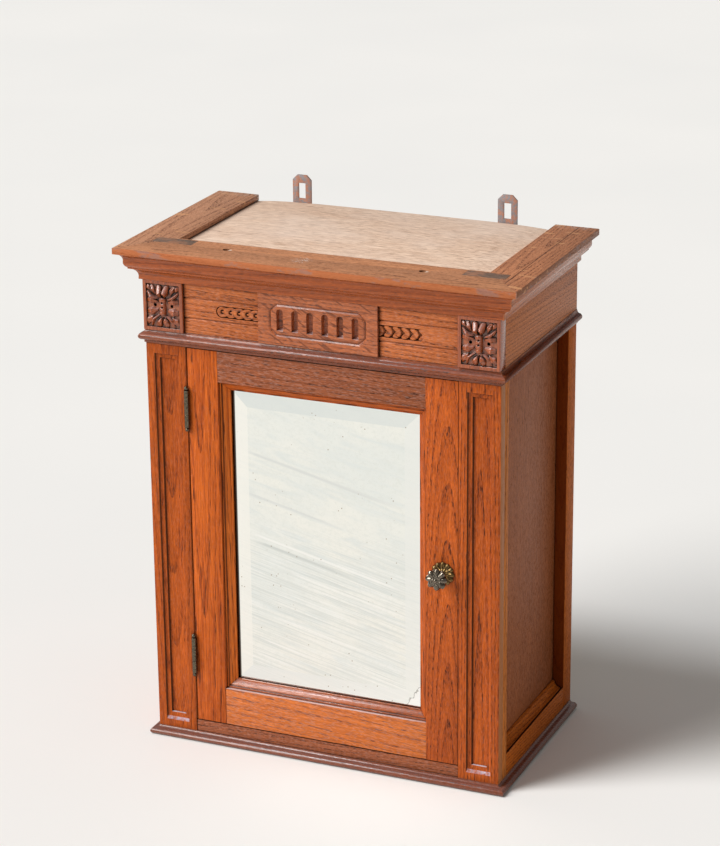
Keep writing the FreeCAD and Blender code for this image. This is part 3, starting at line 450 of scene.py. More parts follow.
def dowel_shade_and_dirt(finish, colour):
    """The two old dowel holes of the front top board, with painted shade and grime inside and chipped beside.
    """
    flat = finish.stretched(finish.place(), (1, 1, 0))
    for hole in DOWEL_HOLES:
        chipped = finish.spot(flat, hole + CHIP_SHIFT, CHIP_RADIUS, CHIP_CORE)
        colour = finish.mix(chipped * CHIP_SHARE, colour, CHIP)
        # painted shade and grime inside each hole
        colour = finish.mix(finish.spot(flat, hole, DOWEL_RADIUS, DOWEL_CORE) * DOWEL_SHARE, colour, SHADE_AND_GRIME)
    return colour


RUBBED_STREAK = (0.74, 0.37, 0.175)
RUB_STREAKS = (0.66, 0.71, 110.0, 1.0)
RUB_STRETCH = (0.25, 1, 1)
RUB_SHARE = 0.55
PUTTY = (0.50, 0.43, 0.39)
PUTTY_REACH = 15 * MM
PUTTY_SMEARS = (0.48, 0.60, 95.0, 4.0, 0.7)
PUTTY_SHARE = 0.6


def rubbed_board(finish, colour, back):
    """Marks for a side top board: pale streaks across it and a smear of old putty at its back end."""
    streaks = finish.patchy(finish.stretched(finish.place(), RUB_STRETCH), RUB_STREAKS)
    colour = finish.mix(streaks * RUB_SHARE, colour, RUBBED_STREAK)
    end = finish.between(finish.part(finish.place(), "Y"), back - PUTTY_REACH, back - PUTTY_REACH / 2)
    smear = end * finish.patchy(finish.place(), PUTTY_SMEARS)
    return finish.mix(smear * PUTTY_SHARE, colour, PUTTY)


FASCIA_ORANGE = (0.42, 0.105, 0.028)
FASCIA_BROWN = (0.26, 0.100, 0.048)
FASCIA_LINE = (0.8367 * MM, 0.5477 * MM)
FASCIA_SHARE = 0.72
FASCIA_SCUFF = (0.235, 0.155, 0.150)
SCUFFS = (0.53, 0.60, 120.0, 4.0, 0.6)
SCUFF_STRETCH = (0.35, 0.35, 1)
SCUFF_SHARE = 0.65
BOARD_JOINT = 0.44
JOINT_LINE = (0.7071 * MM, 0.3162 * MM)
JOINT_SHARE = 0.85


def outer_edge(node):
    """Marks for a top board: its outer edge keeps the stain that its face has lost, under grey scuffs."""
    low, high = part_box(node)
    axis, plane, stain = {
        "front_top_board": ("Y", low.y, FASCIA_ORANGE),
        "left_top_board": ("X", low.x, FASCIA_BROWN),
        "right_top_board": ("X", high.x, FASCIA_BROWN),
    }[node]

    def marks(finish, colour):
        across = finish.part(finish.place(), axis) - plane
        scuffs = finish.patchy(finish.stretched(finish.place(), SCUFF_STRETCH), SCUFFS)
        edge = finish.mix(scuffs * SCUFF_SHARE, stain, FASCIA_SCUFF)
        colour = finish.mix(finish.line(across, *FASCIA_LINE) * FASCIA_SHARE, colour, edge)
        if node == "front_top_board":
            return dowel_shade_and_dirt(finish, nail_scratches(finish, colour))
        colour = rubbed_board(finish, colour, high.y)
        if node == "right_top_board":
            seam = across + (high.x - low.x) * BOARD_JOINT
            colour = finish.mix(finish.line(seam, *JOINT_LINE) * JOINT_SHARE, colour, SHADE_AND_GRIME)
        return colour

    return marks


QUIRK_EDGE = (1.12 * MM, 0.48 * MM)
QUIRK_PLACE = 2.7 * MM
QUIRK_HALF = 0.6 * MM
QUIRK_SHARE = 0.85


def quirks(side, axis, outer):
    """Marks for a mirror moulding: painted shade as dark lines on both sides of the small bead at its outer
    edge.
    """
    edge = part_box(f"{side}_mirror_moulding")[outer]["XYZ".index(axis)]

    def marks(finish, colour):
        gap = (finish.part(finish.place(), axis) - edge) * (1 - 2 * outer)
        dark = finish.between(gap, *QUIRK_EDGE) + finish.line(gap - QUIRK_PLACE, QUIRK_HALF, QUIRK_HALF / 2)
        return finish.mix(finish.capped(dark) * QUIRK_SHARE, colour, SHADE_AND_GRIME)

    return marks


FOOT_FADE = (0.25, 0.15)
FOOT_TONE = (0.83, 0.81, 0.86)


def dark_foot(finish, colour):
    """Marks for the door's right stile: darker below the knob."""
    low_down = finish.between(finish.part(finish.place(), "Z"), *FOOT_FADE)
    return finish.mix(low_down, colour, FOOT_TONE, "MULTIPLY")


# painted shade: the dark colour for a rear stile's inner edge
REVEAL_SHADE = (0.115, 0.016, 0.002)
REVEAL_FACING = (-0.5, -0.8)
REVEAL_SHARE = 0.85


def shaded_reveal(finish, colour):
    """The inner edge of a rear stile, which faces the front: darkened with painted shade."""
    return finish.mix(finish.between(finish.facing("Y"), *REVEAL_FACING) * REVEAL_SHARE, colour, REVEAL_SHADE)


TOP_DUST = (0.87, 0.71, 0.61)
TOP_DUST_PATCHES = (0.36, 0.66, 12.0, 4.0, 0.6)
TOP_DUST_SHARE = 0.38
# painted shade with grime: the darker colour along the frame
FRAME_SHADE_AND_GRIME = (0.56, 0.45, 0.37)
FRAME_SHADE_AND_GRIME_REACH = 45 * MM
FRAME_SHADE_AND_GRIME_DEPTH = (0.05, 0.8)
FRAME_SHADE_AND_GRIME_SHARE = 0.35


def dusted(finish, colour):
    """Marks for the bare top: pale dust in patches, darker along the frame with grime and painted shade."""
    patches = finish.patchy(finish.place(), TOP_DUST_PATCHES)
    colour = finish.mix(patches * TOP_DUST_SHARE, colour, TOP_DUST)
    by_frame = finish.between(finish.corners(FRAME_SHADE_AND_GRIME_REACH), *FRAME_SHADE_AND_GRIME_DEPTH)
    return finish.mix(by_frame * FRAME_SHADE_AND_GRIME_SHARE, colour, FRAME_SHADE_AND_GRIME)


# Metals. Brass and bronze: the bright metal, its patina, and how rough it is where it is bright.

ROSE_BRASS = ((0.24, 0.15, 0.055), (0.018, 0.011, 0.006), 0.26)
HEAD_BRASS = ((0.21, 0.175, 0.135), (0.014, 0.010, 0.006), 0.17)
HINGE_BRONZE = ((0.155, 0.130, 0.090), (0.010, 0.008, 0.006), 0.20)
PATINA_CLOUDS = (0.42, 0.68, 420.0, 3.0, 0.6)
CLOUD_SHARE = 0.6
HOLLOW_REACH = 3.2 * MM
HOLLOWS = (0.12, 0.55)
PATINA_DULLING = 0.45
PATINA_ROUGHNESS = 0.28
CASTING_SCALE = 2600.0
CASTING_DEPTH = 0.15 * MM
CASTING_STRENGTH = 0.25


def aged_brass(name, metal, patina, roughness):
    """Cast brass, dark in its hollows and bright where hands rub it."""
    finish = Finish(name)
    clouds = finish.patchy(finish.place(), PATINA_CLOUDS)
    hollow = finish.between(finish.corners(HOLLOW_REACH, FINE_SAMPLES), *HOLLOWS)
    dark = finish.capped(hollow + clouds * CLOUD_SHARE)
    height = finish.noise(finish.place(), CASTING_SCALE)
    sockets = {
        "Base Color": finish.mix(dark, metal, patina),
        "Metallic": 1.0 - dark * PATINA_DULLING,
        "Roughness": dark * PATINA_ROUGHNESS + roughness,
        "Normal": finish.bump(height, CASTING_DEPTH, CASTING_STRENGTH),
    }
    return finish.surface(sockets)


IRON_CLOUD = (190.0, 4.0, 0.7)
IRON_SPECKLE = (1300.0, 3.0, 0.7)
IRON_BLOOM = (0.44, 0.205, 0.135)
IRON_BARE = (0.29, 0.27, 0.28)
IRON_PIT = (0.14, 0.066, 0.046)
BARE_PATCHES = (0.45, 0.56)
BARE_METAL = 0.35
PITS = (0.55, 0.7)
PIT_SHARE = 0.7
IRON_ROUGHNESS = 0.50
SPECKLE_ROUGHNESS = 0.25
IRON_DEPTH = 0.2 * MM
IRON_STRENGTH = 0.5


def hanger_iron(name):
    """Old iron strap with a copper-brown bloom and grey-blue bare patches."""
    finish = Finish(name)
    cloud = finish.noise(finish.place(), *IRON_CLOUD)
    speckle = finish.noise(finish.place(), *IRON_SPECKLE)
    bare = finish.between(cloud, *BARE_PATCHES)
    colour = finish.mix(bare, IRON_BLOOM, IRON_BARE)
    sockets = {
        "Base Color": finish.mix(finish.between(speckle, *PITS) * PIT_SHARE, colour, IRON_PIT),
        "Metallic": bare * BARE_METAL,
        "Roughness": speckle * SPECKLE_ROUGHNESS + IRON_ROUGHNESS,
        "Normal": finish.bump(speckle + cloud, IRON_DEPTH, IRON_STRENGTH),
    }
    return finish.surface(sockets)


STEEL_CLOUD = (900.0, 3.0, 0.6)
STEEL_STAINS = (0.45, 0.7)
STEEL = (0.36, 0.33, 0.30)
STEEL_STAIN = (0.15, 0.095, 0.06)
STEEL_METAL = 0.85
STEEL_ROUGHNESS = 0.28
STAIN_ROUGHNESS = 0.3


def dull_steel(name):
    finish = Finish(name)
    cloud = finish.noise(finish.place(), *STEEL_CLOUD)
    sockets = {
        "Base Color": finish.mix(finish.between(cloud, *STEEL_STAINS), STEEL, STEEL_STAIN),
        "Metallic": STEEL_METAL,
        "Roughness": cloud * STAIN_ROUGHNESS + STEEL_ROUGHNESS,
    }
    return finish.surface(sockets)


# The mirror. Its marks are placed from the glass that shows inside the mouldings.

BEVEL = 19.5 * MM
BEVEL_EDGE = 0.3 * MM
BEVEL_SHARE = 0.70
BEVEL_REFLECTIONS = {
    # painted reflection: how each bevel's reflection differs from the middle of the glass
    "left": (1.0, 0.985, 0.920),
    "top": (0.765, 0.810, 0.795),
    "right": (0.900, 0.915, 0.880),
    "bottom": (0.890, 0.905, 0.880),
}
SILVER = (0.950, 0.948, 0.885)
SMEARED = (0.830, 0.862, 0.835)
SMEAR_SLOPE = math.radians(13)
SMEAR_STRETCH = (0.16, 1, 1)
SMEAR_NOISE = {"Scale": 70.0, "Detail": 6.0, "Distortion": 1.6}
SMEARS = (0.44, 0.70)
CLOUDED = (0.845, 0.885, 0.860)
GLASS_CLOUD = (9.0, 3.0, 0.5)
CLOUDS = (0.42, 0.60)
CLOUDED_SHARE = 0.6
WIPED = (1.0, 1.0, 0.965)
WIPE_STRETCH = (0.018, 1, 1)
WIPE_NOISE = (640.0, 3.0, 0.6)
WIPED_PART = (0.60, 0.42)
GREY_WIPES = (0.50, 0.64)
GREY_WIPE_SHARE = 0.55
PALE_WIPES = (0.46, 0.34)
PALE_WIPE_SHARE = 0.75
MOTTLED = (0.78, 0.80, 0.745)
MOTTLES = (0.46, 0.70, 260.0, 4.0, 0.7)
MOTTLED_SHARE = 0.42
GREYED_STREAK = (0.70, 0.73, 0.70)
FAINT_STREAK = (0.78, 0.80, 0.775)
STREAKS = (
    # where it starts and ends across the glass, how high it starts, half its width in millimetres, its colour
    (0.06, 0.92, 0.80, 2.6, FAINT_STREAK),
    (0.04, 0.60, 0.66, 2.0, FAINT_STREAK),
    (0.08, 0.95, 0.52, 1.8, WIPED),
    (0.10, 0.70, 0.495, 2.2, GREYED_STREAK),
    (0.30, 0.95, 0.40, 1.0, WIPED),
    (0.12, 0.52, 0.155, 1.1, WIPED),
    (0.08, 0.40, 0.105, 0.9, WIPED),
    (0.20, 0.80, 0.24, 0.9, WIPED),
)
STREAK_START = 15 * MM
STREAK_END = 40 * MM
STREAK_BREAKS = (0.2, 0.5)
FOXING = (0.30, 0.20, 0.09)
SPECK_SCALE = 130.0
SPECK_SIZE = (0.12, 0.06)
SPECK_PATCHES = (0.53, 0.60, 34.0, 1.0)
SPECK_SHARE = 0.8
CRACK = (0.24, 0.23, 0.20)
CRACKED = (0.985, 0.985, 0.965)
CRACK_NOISE = (140.0, 3.0, 0.6)
CRACK_SWING = 16 * MM
NOISE_MIDDLE = 0.5
CRACK_LEAN = 0.7
CRACK_REACH = 20 * MM
CRACK_LINE = (0.9487 * MM, 0.3162 * MM)
CRACK_SHARE = 0.7
LEFT_SHADE = ((3.9 * MM, 3.2 * MM), 0.95, (0.030, 0.018, 0.010))
FOOT_SHADE = ((2.2 * MM, 1.0 * MM), 0.75, (0.13, 0.10, 0.07))
CLOUD_ROUGHNESS = ((0.3, 0.8), 0.06)
GLASS_ROUGHNESS = 0.05


def aged_mirror(name):
    """Old silvering: clouded and smeared, with painted reflections in its bevels, painted shade along its
    left and bottom edges, foxing specks and a cracked corner.
    """
    finish = Finish(name)
    place = finish.place()
    across = finish.part(place, "X")
    rise = finish.part(place, "Z")
    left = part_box("left_mirror_moulding")[1].x
    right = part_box("right_mirror_moulding")[0].x
    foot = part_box("bottom_mirror_moulding")[1].z
    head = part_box("top_mirror_moulding")[0].z
    inside = {"left": across - left, "right": right - across, "bottom": rise - foot, "top": head - rise}
    slanted = finish.turned((0, -SMEAR_SLOPE, 0))
    smear_sockets = {"Vector": finish.stretched(slanted, SMEAR_STRETCH)} | SMEAR_NOISE
    smears = finish.node("ShaderNodeTexNoise", {}, smear_sockets)
    wipes = finish.noise(finish.stretched(slanted, WIPE_STRETCH), *WIPE_NOISE)
    cloud = finish.noise(place, *GLASS_CLOUD)
    lower = finish.between(rise, *(foot + share * (head - foot) for share in WIPED_PART))
    colour = finish.mix(finish.between(smears, *SMEARS), SILVER, SMEARED)
    colour = finish.mix(finish.between(cloud, *CLOUDS) * CLOUDED_SHARE, colour, CLOUDED)
    colour = finish.mix(finish.between(wipes, *GREY_WIPES) * lower * GREY_WIPE_SHARE, colour, GREYED_STREAK)
    colour = finish.mix(finish.between(wipes, *PALE_WIPES) * lower * PALE_WIPE_SHARE, colour, WIPED)
    colour = finish.mix(finish.patchy(place, MOTTLES) * MOTTLED_SHARE, colour, MOTTLED)
    fall = finish.part(slanted, "Z")
    for start, end, height, half, tint in STREAKS:
        first = left + start * (right - left)
        last = left + end * (right - left)
        level = first * math.sin(SMEAR_SLOPE) + (foot + height * (head - foot)) * math.cos(SMEAR_SLOPE)
        within = finish.between(across, first, first + STREAK_START)
        within = within * finish.between(across, last, last - STREAK_END)
        streak = finish.line(fall - level, half * MM) * within
        colour = finish.mix(streak * finish.between(wipes, *STREAK_BREAKS), colour, tint)
    # painted reflections on the bevels
    for side, tint in BEVEL_REFLECTIONS.items():
        nearest = finish.between(inside[side], BEVEL + BEVEL_EDGE, BEVEL - BEVEL_EDGE)
        for other, gap in inside.items():
            if other != side:
                nearest = nearest * finish.between(gap - inside[side], -BEVEL_EDGE, BEVEL_EDGE)
        colour = finish.mix(nearest * BEVEL_SHARE, colour, tint)
    specks = finish.node("ShaderNodeTexVoronoi", {}, {"Vector": place, "Scale": SPECK_SCALE}, "Distance")
    specks = finish.between(specks, *SPECK_SIZE) * finish.patchy(place, SPECK_PATCHES)
    colour = finish.mix(specks * SPECK_SHARE, colour, FOXING)
    swing = (finish.noise(place, *CRACK_NOISE) - NOISE_MIDDLE) * CRACK_SWING
    reach = inside["right"] + inside["bottom"] * CRACK_LEAN + swing
    corner = finish.between(reach, CRACK_REACH + MM, CRACK_REACH - MM)
    colour = finish.mix(corner * CRACK_SHARE, colour, CRACKED)
    colour = finish.mix(finish.line(reach - CRACK_REACH, *CRACK_LINE) * CRACK_SHARE, colour, CRACK)
    for side, (fade, share, tint) in (("left", LEFT_SHADE), ("bottom", FOOT_SHADE)):
        colour = finish.mix(finish.between(inside[side], *fade) * share, colour, tint)
    cloudy, rougher = CLOUD_ROUGHNESS
    roughness = finish.between(cloud, *cloudy) * rougher + GLASS_ROUGHNESS
    return finish.surface({"Base Color": colour, "Metallic": 1.0, "Roughness": roughness})


# Mesh helpers.

def cad_copy(node):
    """A node's solids as one mesh, with their flat faces made whole."""
    bm = bmesh.new()
    bm.from_mesh(frame["nodes"][node].data)
    bmesh.ops.remove_doubles(bm, verts=bm.verts, dist=MERGE)
    bmesh.ops.dissolve_limit(bm, angle_limit=FLAT_ANGLE, verts=bm.verts, edges=bm.edges)
    return bm


def ease(bm, width, segments=2):
    """Rounds every proud or sunk edge a little."""
    sharp = [edge for edge in bm.edges if edge.is_manifold and edge.calc_face_angle() > SHARP_ANGLE]
    bmesh.ops.bevel(bm, geom=sharp, offset=width, offset_type="OFFSET", affect="EDGES", segments=segments,
                    profile=0.5, material=-1, clamp_overlap=True)
    return bm


def box_mesh(low, high):
    """A plain block between two corners."""
    bm = bmesh.new()
    size = Matrix.Diagonal((*(high - low), 1))
    bmesh.ops.create_cube(bm, size=1, matrix=Matrix.Translation((low + high) / 2) @ size)
    return bm


def body_of(node):
    return frame["nodes"][node]["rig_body"]


def slot_of(node):
    rows = frame["record"]["subparts"]
    return next(row["material_slot"] for row in rows if row["node"] == node)


def piece(name, bm, material, node, smooth=SMOOTH_ANGLE):
    """Makes a finished piece that rides with the node that it stands for."""
    mesh = bpy.data.meshes.new(name)
    for face in bm.faces:
        face.material_index = 0
    bm.to_mesh(mesh)
    bm.free()
    for leftover in ("custom_normal", "sharp_edge", "sharp_face"):
        if leftover in mesh.attributes:
            mesh.attributes.remove(mesh.attributes[leftover])
    mesh.shade_smooth()
    mesh.set_sharp_from_angle(angle=smooth)
    mesh.materials.clear()
    mesh.materials.append(material)
    thing = bpy.data.objects.new(name, mesh)
    bpy.context.scene.collection.objects.link(thing)
    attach(thing, body_of(node))
    slot_of(node)
    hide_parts(node)


# Boards and mouldings that keep the CAD shape, with eased edges.

BOARD_EASE = 0.7 * MM
TIGHT_EASE = 0.35 * MM
MOULDING_EASE = 0.3 * MM
POLISHED = {"gloss": 0.20, "shine": 0.32, "rough_cut": 0.15, "corner_dirt_and_shade": 0.9, "reach": 1.6, "deep_grime_and_shade": 0.1}
SHEENY = POLISHED | {"sheen": 0.12, "dust": 0.12, "shine": 0.42}
BASE = SHEENY | {"sheen": 0.08, "dust": 0.06, "shine": 0.6}
NOSING = SHEENY | {"sheen": 0.08, "dust": 0.07}
FRONT_CORNICE = POLISHED | {"open_grain": 0.6, "corner_dirt_and_shade": 1.0, "reach": 2.4, "wear": 0.8}
FAINT_CORNERS = {"corner_dirt_and_shade": 0.35, "deep_grime_and_shade": 0.1}
STILE = FAINT_CORNERS | {"straight": True, "dash": STRAIGHT_PORES, "open_grain": 1.15, "sheen": 0.05}
RIGHT_STILE = FAINT_CORNERS | {"dash": 0.15, "sheen": 0.06, "marks": dark_foot}
BEADED = STILE | {"reach": 1.2}
FRONT_RAIL = {"sheen": 0.18}
TOP_RAIL = {"dash": 0.12, "sheen": 0.20}
BOTTOM_RAIL = {"dash": 0.13, "sheen": 0.22, "dust": 0.6, "deep_grime_and_shade": 0.1}
CORNER_KEY = {"rub": SCUFFED, "wear": 0.8, "marks": faded}
WORN_TOP = {"rub": SCUFFED, "wear": 0.6, "gloss": 0.46, "corner_dirt_and_shade": 0.8}
BARE_INSIDE = {"gloss": 0.60, "wear": 0.0}
SIDE_POST = {"shine": 0.03, "dash": 0.12}
SIDE_STILE = {"shine": 0.03, "marks": shaded_reveal}
SHADOWED = {"corner_dirt_and_shade": 1.0, "reach": 3.0, "deep_grime_and_shade": 0.5, "shine": 0.10}
SIDE_SILL = SHADOWED | {"deep_grime_and_shade": 0.3, "shine": 0.03}
# painted shade: the right side takes the darker, warmer stains made for its shade and warm bounce light
SIDE_STAINS = {
    # front post, rear stile with the bottom rail, panel, frieze rail, cornice
    "left": (RED, RED, DULL_BROWN, BROWN, CORNICE_BROWN),
    "right": (SHADED_POST, SHADED_SIDE_RAIL, SHADED, SHADED_SIDE_FRIEZE, SHADED_SIDE_CORNICE),
}
CLOSING_SHARE = 0.6


def close_up(bm, node):
    """Planes the door's closing edge out of square, so that its face nearly meets the pilaster."""
    low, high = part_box(node)
    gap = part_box("right_pilaster")[0].x - high.x
    for point in bm.verts:
        if point.co.x > high.x - MERGE and point.co.y < low.y + MERGE:
            point.co.x += CLOSING_SHARE * gap


def plain_boards():
    """Gives every plain board its own grain, stain and marks."""
    boards = {
        # grain, stain, ease and looks of a board
        "base_board": ("X", DARK_BROWN, MOULDING_EASE, BASE),
        "front_bottom_rail": ("X", DULL_BROWN, BOARD_EASE, FRONT_RAIL),
        "front_mid_moulding": ("X", MOULDING_BROWN, MOULDING_EASE, NOSING),
        "front_cornice": ("X", CORNICE_BROWN, MOULDING_EASE, FRONT_CORNICE),
        "front_top_board": ("X", WEATHERED, BOARD_EASE, WORN_TOP | {"marks": outer_edge("front_top_board")}),
        "left_top_board": ("Y", GREYED_BROWN, BOARD_EASE, WORN_TOP | {"marks": outer_edge("left_top_board")}),
        "right_top_board": ("Y", WORN_BROWN, BOARD_EASE, WORN_TOP | {"marks": outer_edge("right_top_board")}),
        "door_left_stile": ("Z", RED, TIGHT_EASE, STILE),
        "door_right_stile": ("Z", RIGHT_RED, TIGHT_EASE, RIGHT_STILE),
        "door_top_rail": ("X", DULL_BROWN, TIGHT_EASE, TOP_RAIL),
        "door_bottom_rail": ("X", ORANGE, TIGHT_EASE, BOTTOM_RAIL),
        "left_mirror_moulding": ("Z", PAINTED_LIGHT_ORANGE, MOULDING_EASE, BEADED | {"marks": quirks("left", "X", 0)}),
        "right_mirror_moulding": ("Z", RIGHT_RED, MOULDING_EASE, BEADED | {"marks": quirks("right", "X", 1)}),
        "bottom_mirror_moulding": (
            "X", CORNICE_BROWN, MOULDING_EASE, SHEENY | {"marks": quirks("bottom", "Z", 0)}),
        "top_mirror_moulding": ("X", RED, MOULDING_EASE, BEADED | {"marks": quirks("top", "Z", 1)}),
        "corner_keys": ("X", GREYED, TIGHT_EASE, CORNER_KEY),
        "mirror_back": ("Z", BARE, BOARD_EASE, BARE_INSIDE),
        "door_stop": ("X", BARE, BOARD_EASE, BARE_INSIDE),
        "lintel": ("X", BARE, BOARD_EASE, BARE_INSIDE),
        "shelf_cleats": ("Y", BARE, BOARD_EASE, BARE_INSIDE),
    }
    for shelf in ("lower_shelf", "upper_shelf"):
        boards[shelf] = ("X", BARE, BOARD_EASE, BARE_INSIDE)
    for place in ("left", "middle", "right"):
        boards[f"{place}_back_board"] = ("Z", BARE, BOARD_EASE, BARE_INSIDE)
    for side, (post, stile, panel, frieze, cornice) in SIDE_STAINS.items():
        boards[f"{side}_front_post"] = ("Z", post, TIGHT_EASE, SIDE_POST)
        boards[f"{side}_rear_stile"] = ("Z", stile, BOARD_EASE, SIDE_STILE)
        boards[f"{side}_bottom_rail"] = ("Y", stile, MOULDING_EASE, SIDE_SILL)
        boards[f"{side}_side_panel"] = ("Z", panel, TIGHT_EASE, {})
        boards[f"{side}_frieze_rail"] = ("Y", frieze, TIGHT_EASE, {})
        boards[f"{side}_mid_moulding"] = ("Y", DARK_BROWN, MOULDING_EASE, POLISHED | SHADOWED)
        boards[f"{side}_cornice"] = ("Y", cornice, MOULDING_EASE, POLISHED)
    for node, (grain, stain, width, looks) in boards.items():
        bm = cad_copy(node)
        if node == "door_right_stile":
            close_up(bm, node)
        piece(f"{node}_wood", ease(bm, width), oak(node, grain, stain, **looks), node)


# Pilasters: a sunk panel inside a stepped border, with a slope at its foot.

PANEL_SIDE = 10.0 * MM
PANEL_END = 12.5 * MM
PANEL_STEPS = (
    # inwards and backwards, in millimetres
    (0.15, 2.0),
    (3.0, 0.9),
    (2.4, 0.1),
    (0.3, 2.4),
)
PANEL_SILL = 3.6 * MM
PANEL_EASE = 0.2 * MM
PANEL_LINES = (0.5 * MM, 5.8 * MM)
LINE_HALF = 0.65 * MM
LINE_CORE = 0.2907 * MM
LINE_DARKNESS = 0.75
SILL_SHINE = (0.44, 0.43, 0.54)
SILL_SLOPE = (0.25, 0.45)
SILL_GLEAM = (0.34, 0.62, 240.0, 2.0)
SILL_SHARE = 0.75
# painted reflection: a warm tan for faces turned to the right, which stand in shade
REFLECTED_TAN = (0.47, 0.185, 0.062)
SIDE_FACING = (0.6, 0.9)
SIDE_SHARE = 0.8
PILASTER_GRAIN = {"left": 0.7, "right": 1.0}
PILASTER = {
    "dash": 0.10,
    "sheen": 0.06,
    "corner_dirt_and_shade": 1.0,
    "reach": 2.2,
    "deep_grime_and_shade": 0.15,
    "dust": 0.5,
    "gloss": 0.40,
    "shine": 0.11,
}


def panel_lines(low, high):
    """Marks for a pilaster: painted shade in dark lines along the left and upper steps of its sunk panel, a
    painted highlight on the slope at its foot, and a painted reflected tan on faces turned to the right.
    """
    def marks(finish, colour):
        across = finish.part(finish.place(), "X")
        rise = finish.part(finish.place(), "Z")
        left = across - (low.x + PANEL_SIDE)
        right = (high.x - PANEL_SIDE) - across
        top = (high.z - PANEL_END) - rise
        bottom = rise - (low.z + PANEL_END)
        shaded = left.least(top)
        lit = right.least(bottom)
        dark = 0.0
        for place in PANEL_LINES:
            dark = finish.line(shaded - place, LINE_HALF, LINE_CORE) + dark
        dark = dark * finish.between(lit - shaded, -LINE_HALF, LINE_HALF)
        dark = dark * finish.between(shaded, -LINE_HALF, 0.0)
        gleam = finish.between(finish.facing("Z"), *SILL_SLOPE) * finish.patchy(finish.place(), SILL_GLEAM)
        colour = finish.mix(gleam * SILL_SHARE, colour, SILL_SHINE)
        colour = finish.mix(finish.between(finish.facing("X"), *SIDE_FACING) * SIDE_SHARE, colour, REFLECTED_TAN)
        return finish.mix(finish.capped(dark) * LINE_DARKNESS, colour, SHADE_AND_GRIME)

    return marks


def pilaster(side):
    node = f"{side}_pilaster"
    low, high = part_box(node)
    bm = box_mesh(low, high)
    front = min(bm.faces, key=lambda face: face.calc_center_median().y)
    bmesh.ops.inset_region(bm, faces=[front], thickness=PANEL_SIDE, use_even_offset=True)
    middle = (low.z + high.z) / 2
    for corner in front.verts:
        corner.co.z += (PANEL_END - PANEL_SIDE) * (1 if corner.co.z < middle else -1)
    for inwards, backwards in PANEL_STEPS:
        bmesh.ops.inset_region(bm, faces=[front], thickness=inwards * MM, depth=-backwards * MM,
                               use_even_offset=True)
    for point in bm.verts:
        if point.co.y < low.y + MERGE and abs(point.co.z - low.z - PANEL_END) < MERGE:
            point.co.z -= PANEL_SILL
    looks = PILASTER | {"open_grain": PILASTER_GRAIN[side], "marks": panel_lines(low, high)}
    piece(f"{node}_wood", ease(bm, PANEL_EASE), oak(node, "Z", DEEP_RED, **looks), node)


# Carving: heights stand over a sunk floor, in millimetres, at places measured from the field's middle.

RELIEF_STEP = 0.45
RELIEF_SEAT = 0.3 * MM
LEAVES = (
    # root, tip, bow, half width, height, notches, where it stands highest, how high it starts
    ((1.8, 9.0), (6.0, 25.4), 0.3, 3.9, 8.4, 0, 0.40, 0.10),
    ((9.6, 12.0), (14.8, 25.0), 0.6, 3.2, 4.4, 2, 0.55, 0.30),
    ((15.2, 17.0), (20.8, 24.6), 0.3, 2.6, 3.2, 0, 0.55, 0.30),
    ((5.2, 8.2), (20.4, 17.4), -1.8, 1.9, 7.0, 0, 0.50, 0.60),
    ((5.4, 4.6), (20.8, 6.0), 1.0, 4.2, 4.8, 2, 0.60, 0.45),
    ((5.2, -4.8), (20.6, -7.6), -0.4, 4.6, 4.8, 2, 0.60, 0.45),
    ((11.4, -12.4), (20.8, -22.8), 0.8, 4.0, 4.0, 2, 0.60, 0.70),
    ((1.0, -13.6), (5.8, -25.4), 0.4, 3.6, 4.8, 0, 0.50, 0.60),
    ((3.2, -10.6), (15.0, -25.2), 2.8, 1.6, 5.8, 0, 0.50, 0.80),
)
LEAF_BELLY = 0.64
NOTCH_DEPTH = 0.16
FIELD_RISE = 0.1
STEM_HALF_WIDTH = 4.2
STEM_FOOT = -11.5
STEM_HEAD = 10.0
STEM_HEIGHT = 4.2
STEM_BEADS = ((7.0, 3.1), (1.6, 2.8), (-3.6, 2.8), (-8.4, 2.6))
BEAD_RISE = 1.5
HOLES = ((10.6, 0.2, 2.6), (0.0, 13.2, 1.5), (0.0, -14.6, 1.7), (0.0, 4.3, 0.9), (0.0, -1.0, 0.9))
RELIEF_SMOOTHING = 0.5
SWELL_POWER = 3
TIP_CREST = 0.15
VEIN_DEPTH = 0.5
VEIN_WIDTH = 0.6
STEM_FULLNESS = 6
BEAD_SQUASH = 0.75
BEAD_SINK = 0.6


def leaf_height(place, root, tip, bow, half_width, height, notches, peak, start):
    """A bowed leaf, fullest towards its rounded tip, with a notched edge and a faint vein."""
    root = Vector(root)
    along = Vector(tip) - root
    offset = place - root
    share = offset.dot(along) / along.length_squared
    if not 0 < share < 1:
        return 0.0
    across = along.cross(offset) / along.length - bow * math.sin(math.pi * share)
    if share < LEAF_BELLY:
        fullness = 1 - (1 - share / LEAF_BELLY) ** 2
    else:
        fullness = math.sqrt(1 - ((share - LEAF_BELLY) / (1 - LEAF_BELLY)) ** 2)
    reach = half_width * fullness * (1 - NOTCH_DEPTH * (1 - math.cos(FULL_TURN * notches * share)))
    if abs(across) >= reach:
        return 0.0
    swell = (1 - abs(across / reach) ** SWELL_POWER) ** (1 / SWELL_POWER)
    if share < peak:
        crest = start + (1 - start) * share / peak
    else:
        crest = TIP_CREST + (1 - TIP_CREST) * (1 - share) / (1 - peak)
    vein = VEIN_DEPTH * math.exp(-(across / VEIN_WIDTH) ** 2) if notches else 0.0
    return FIELD_RISE + height * crest * swell - vein


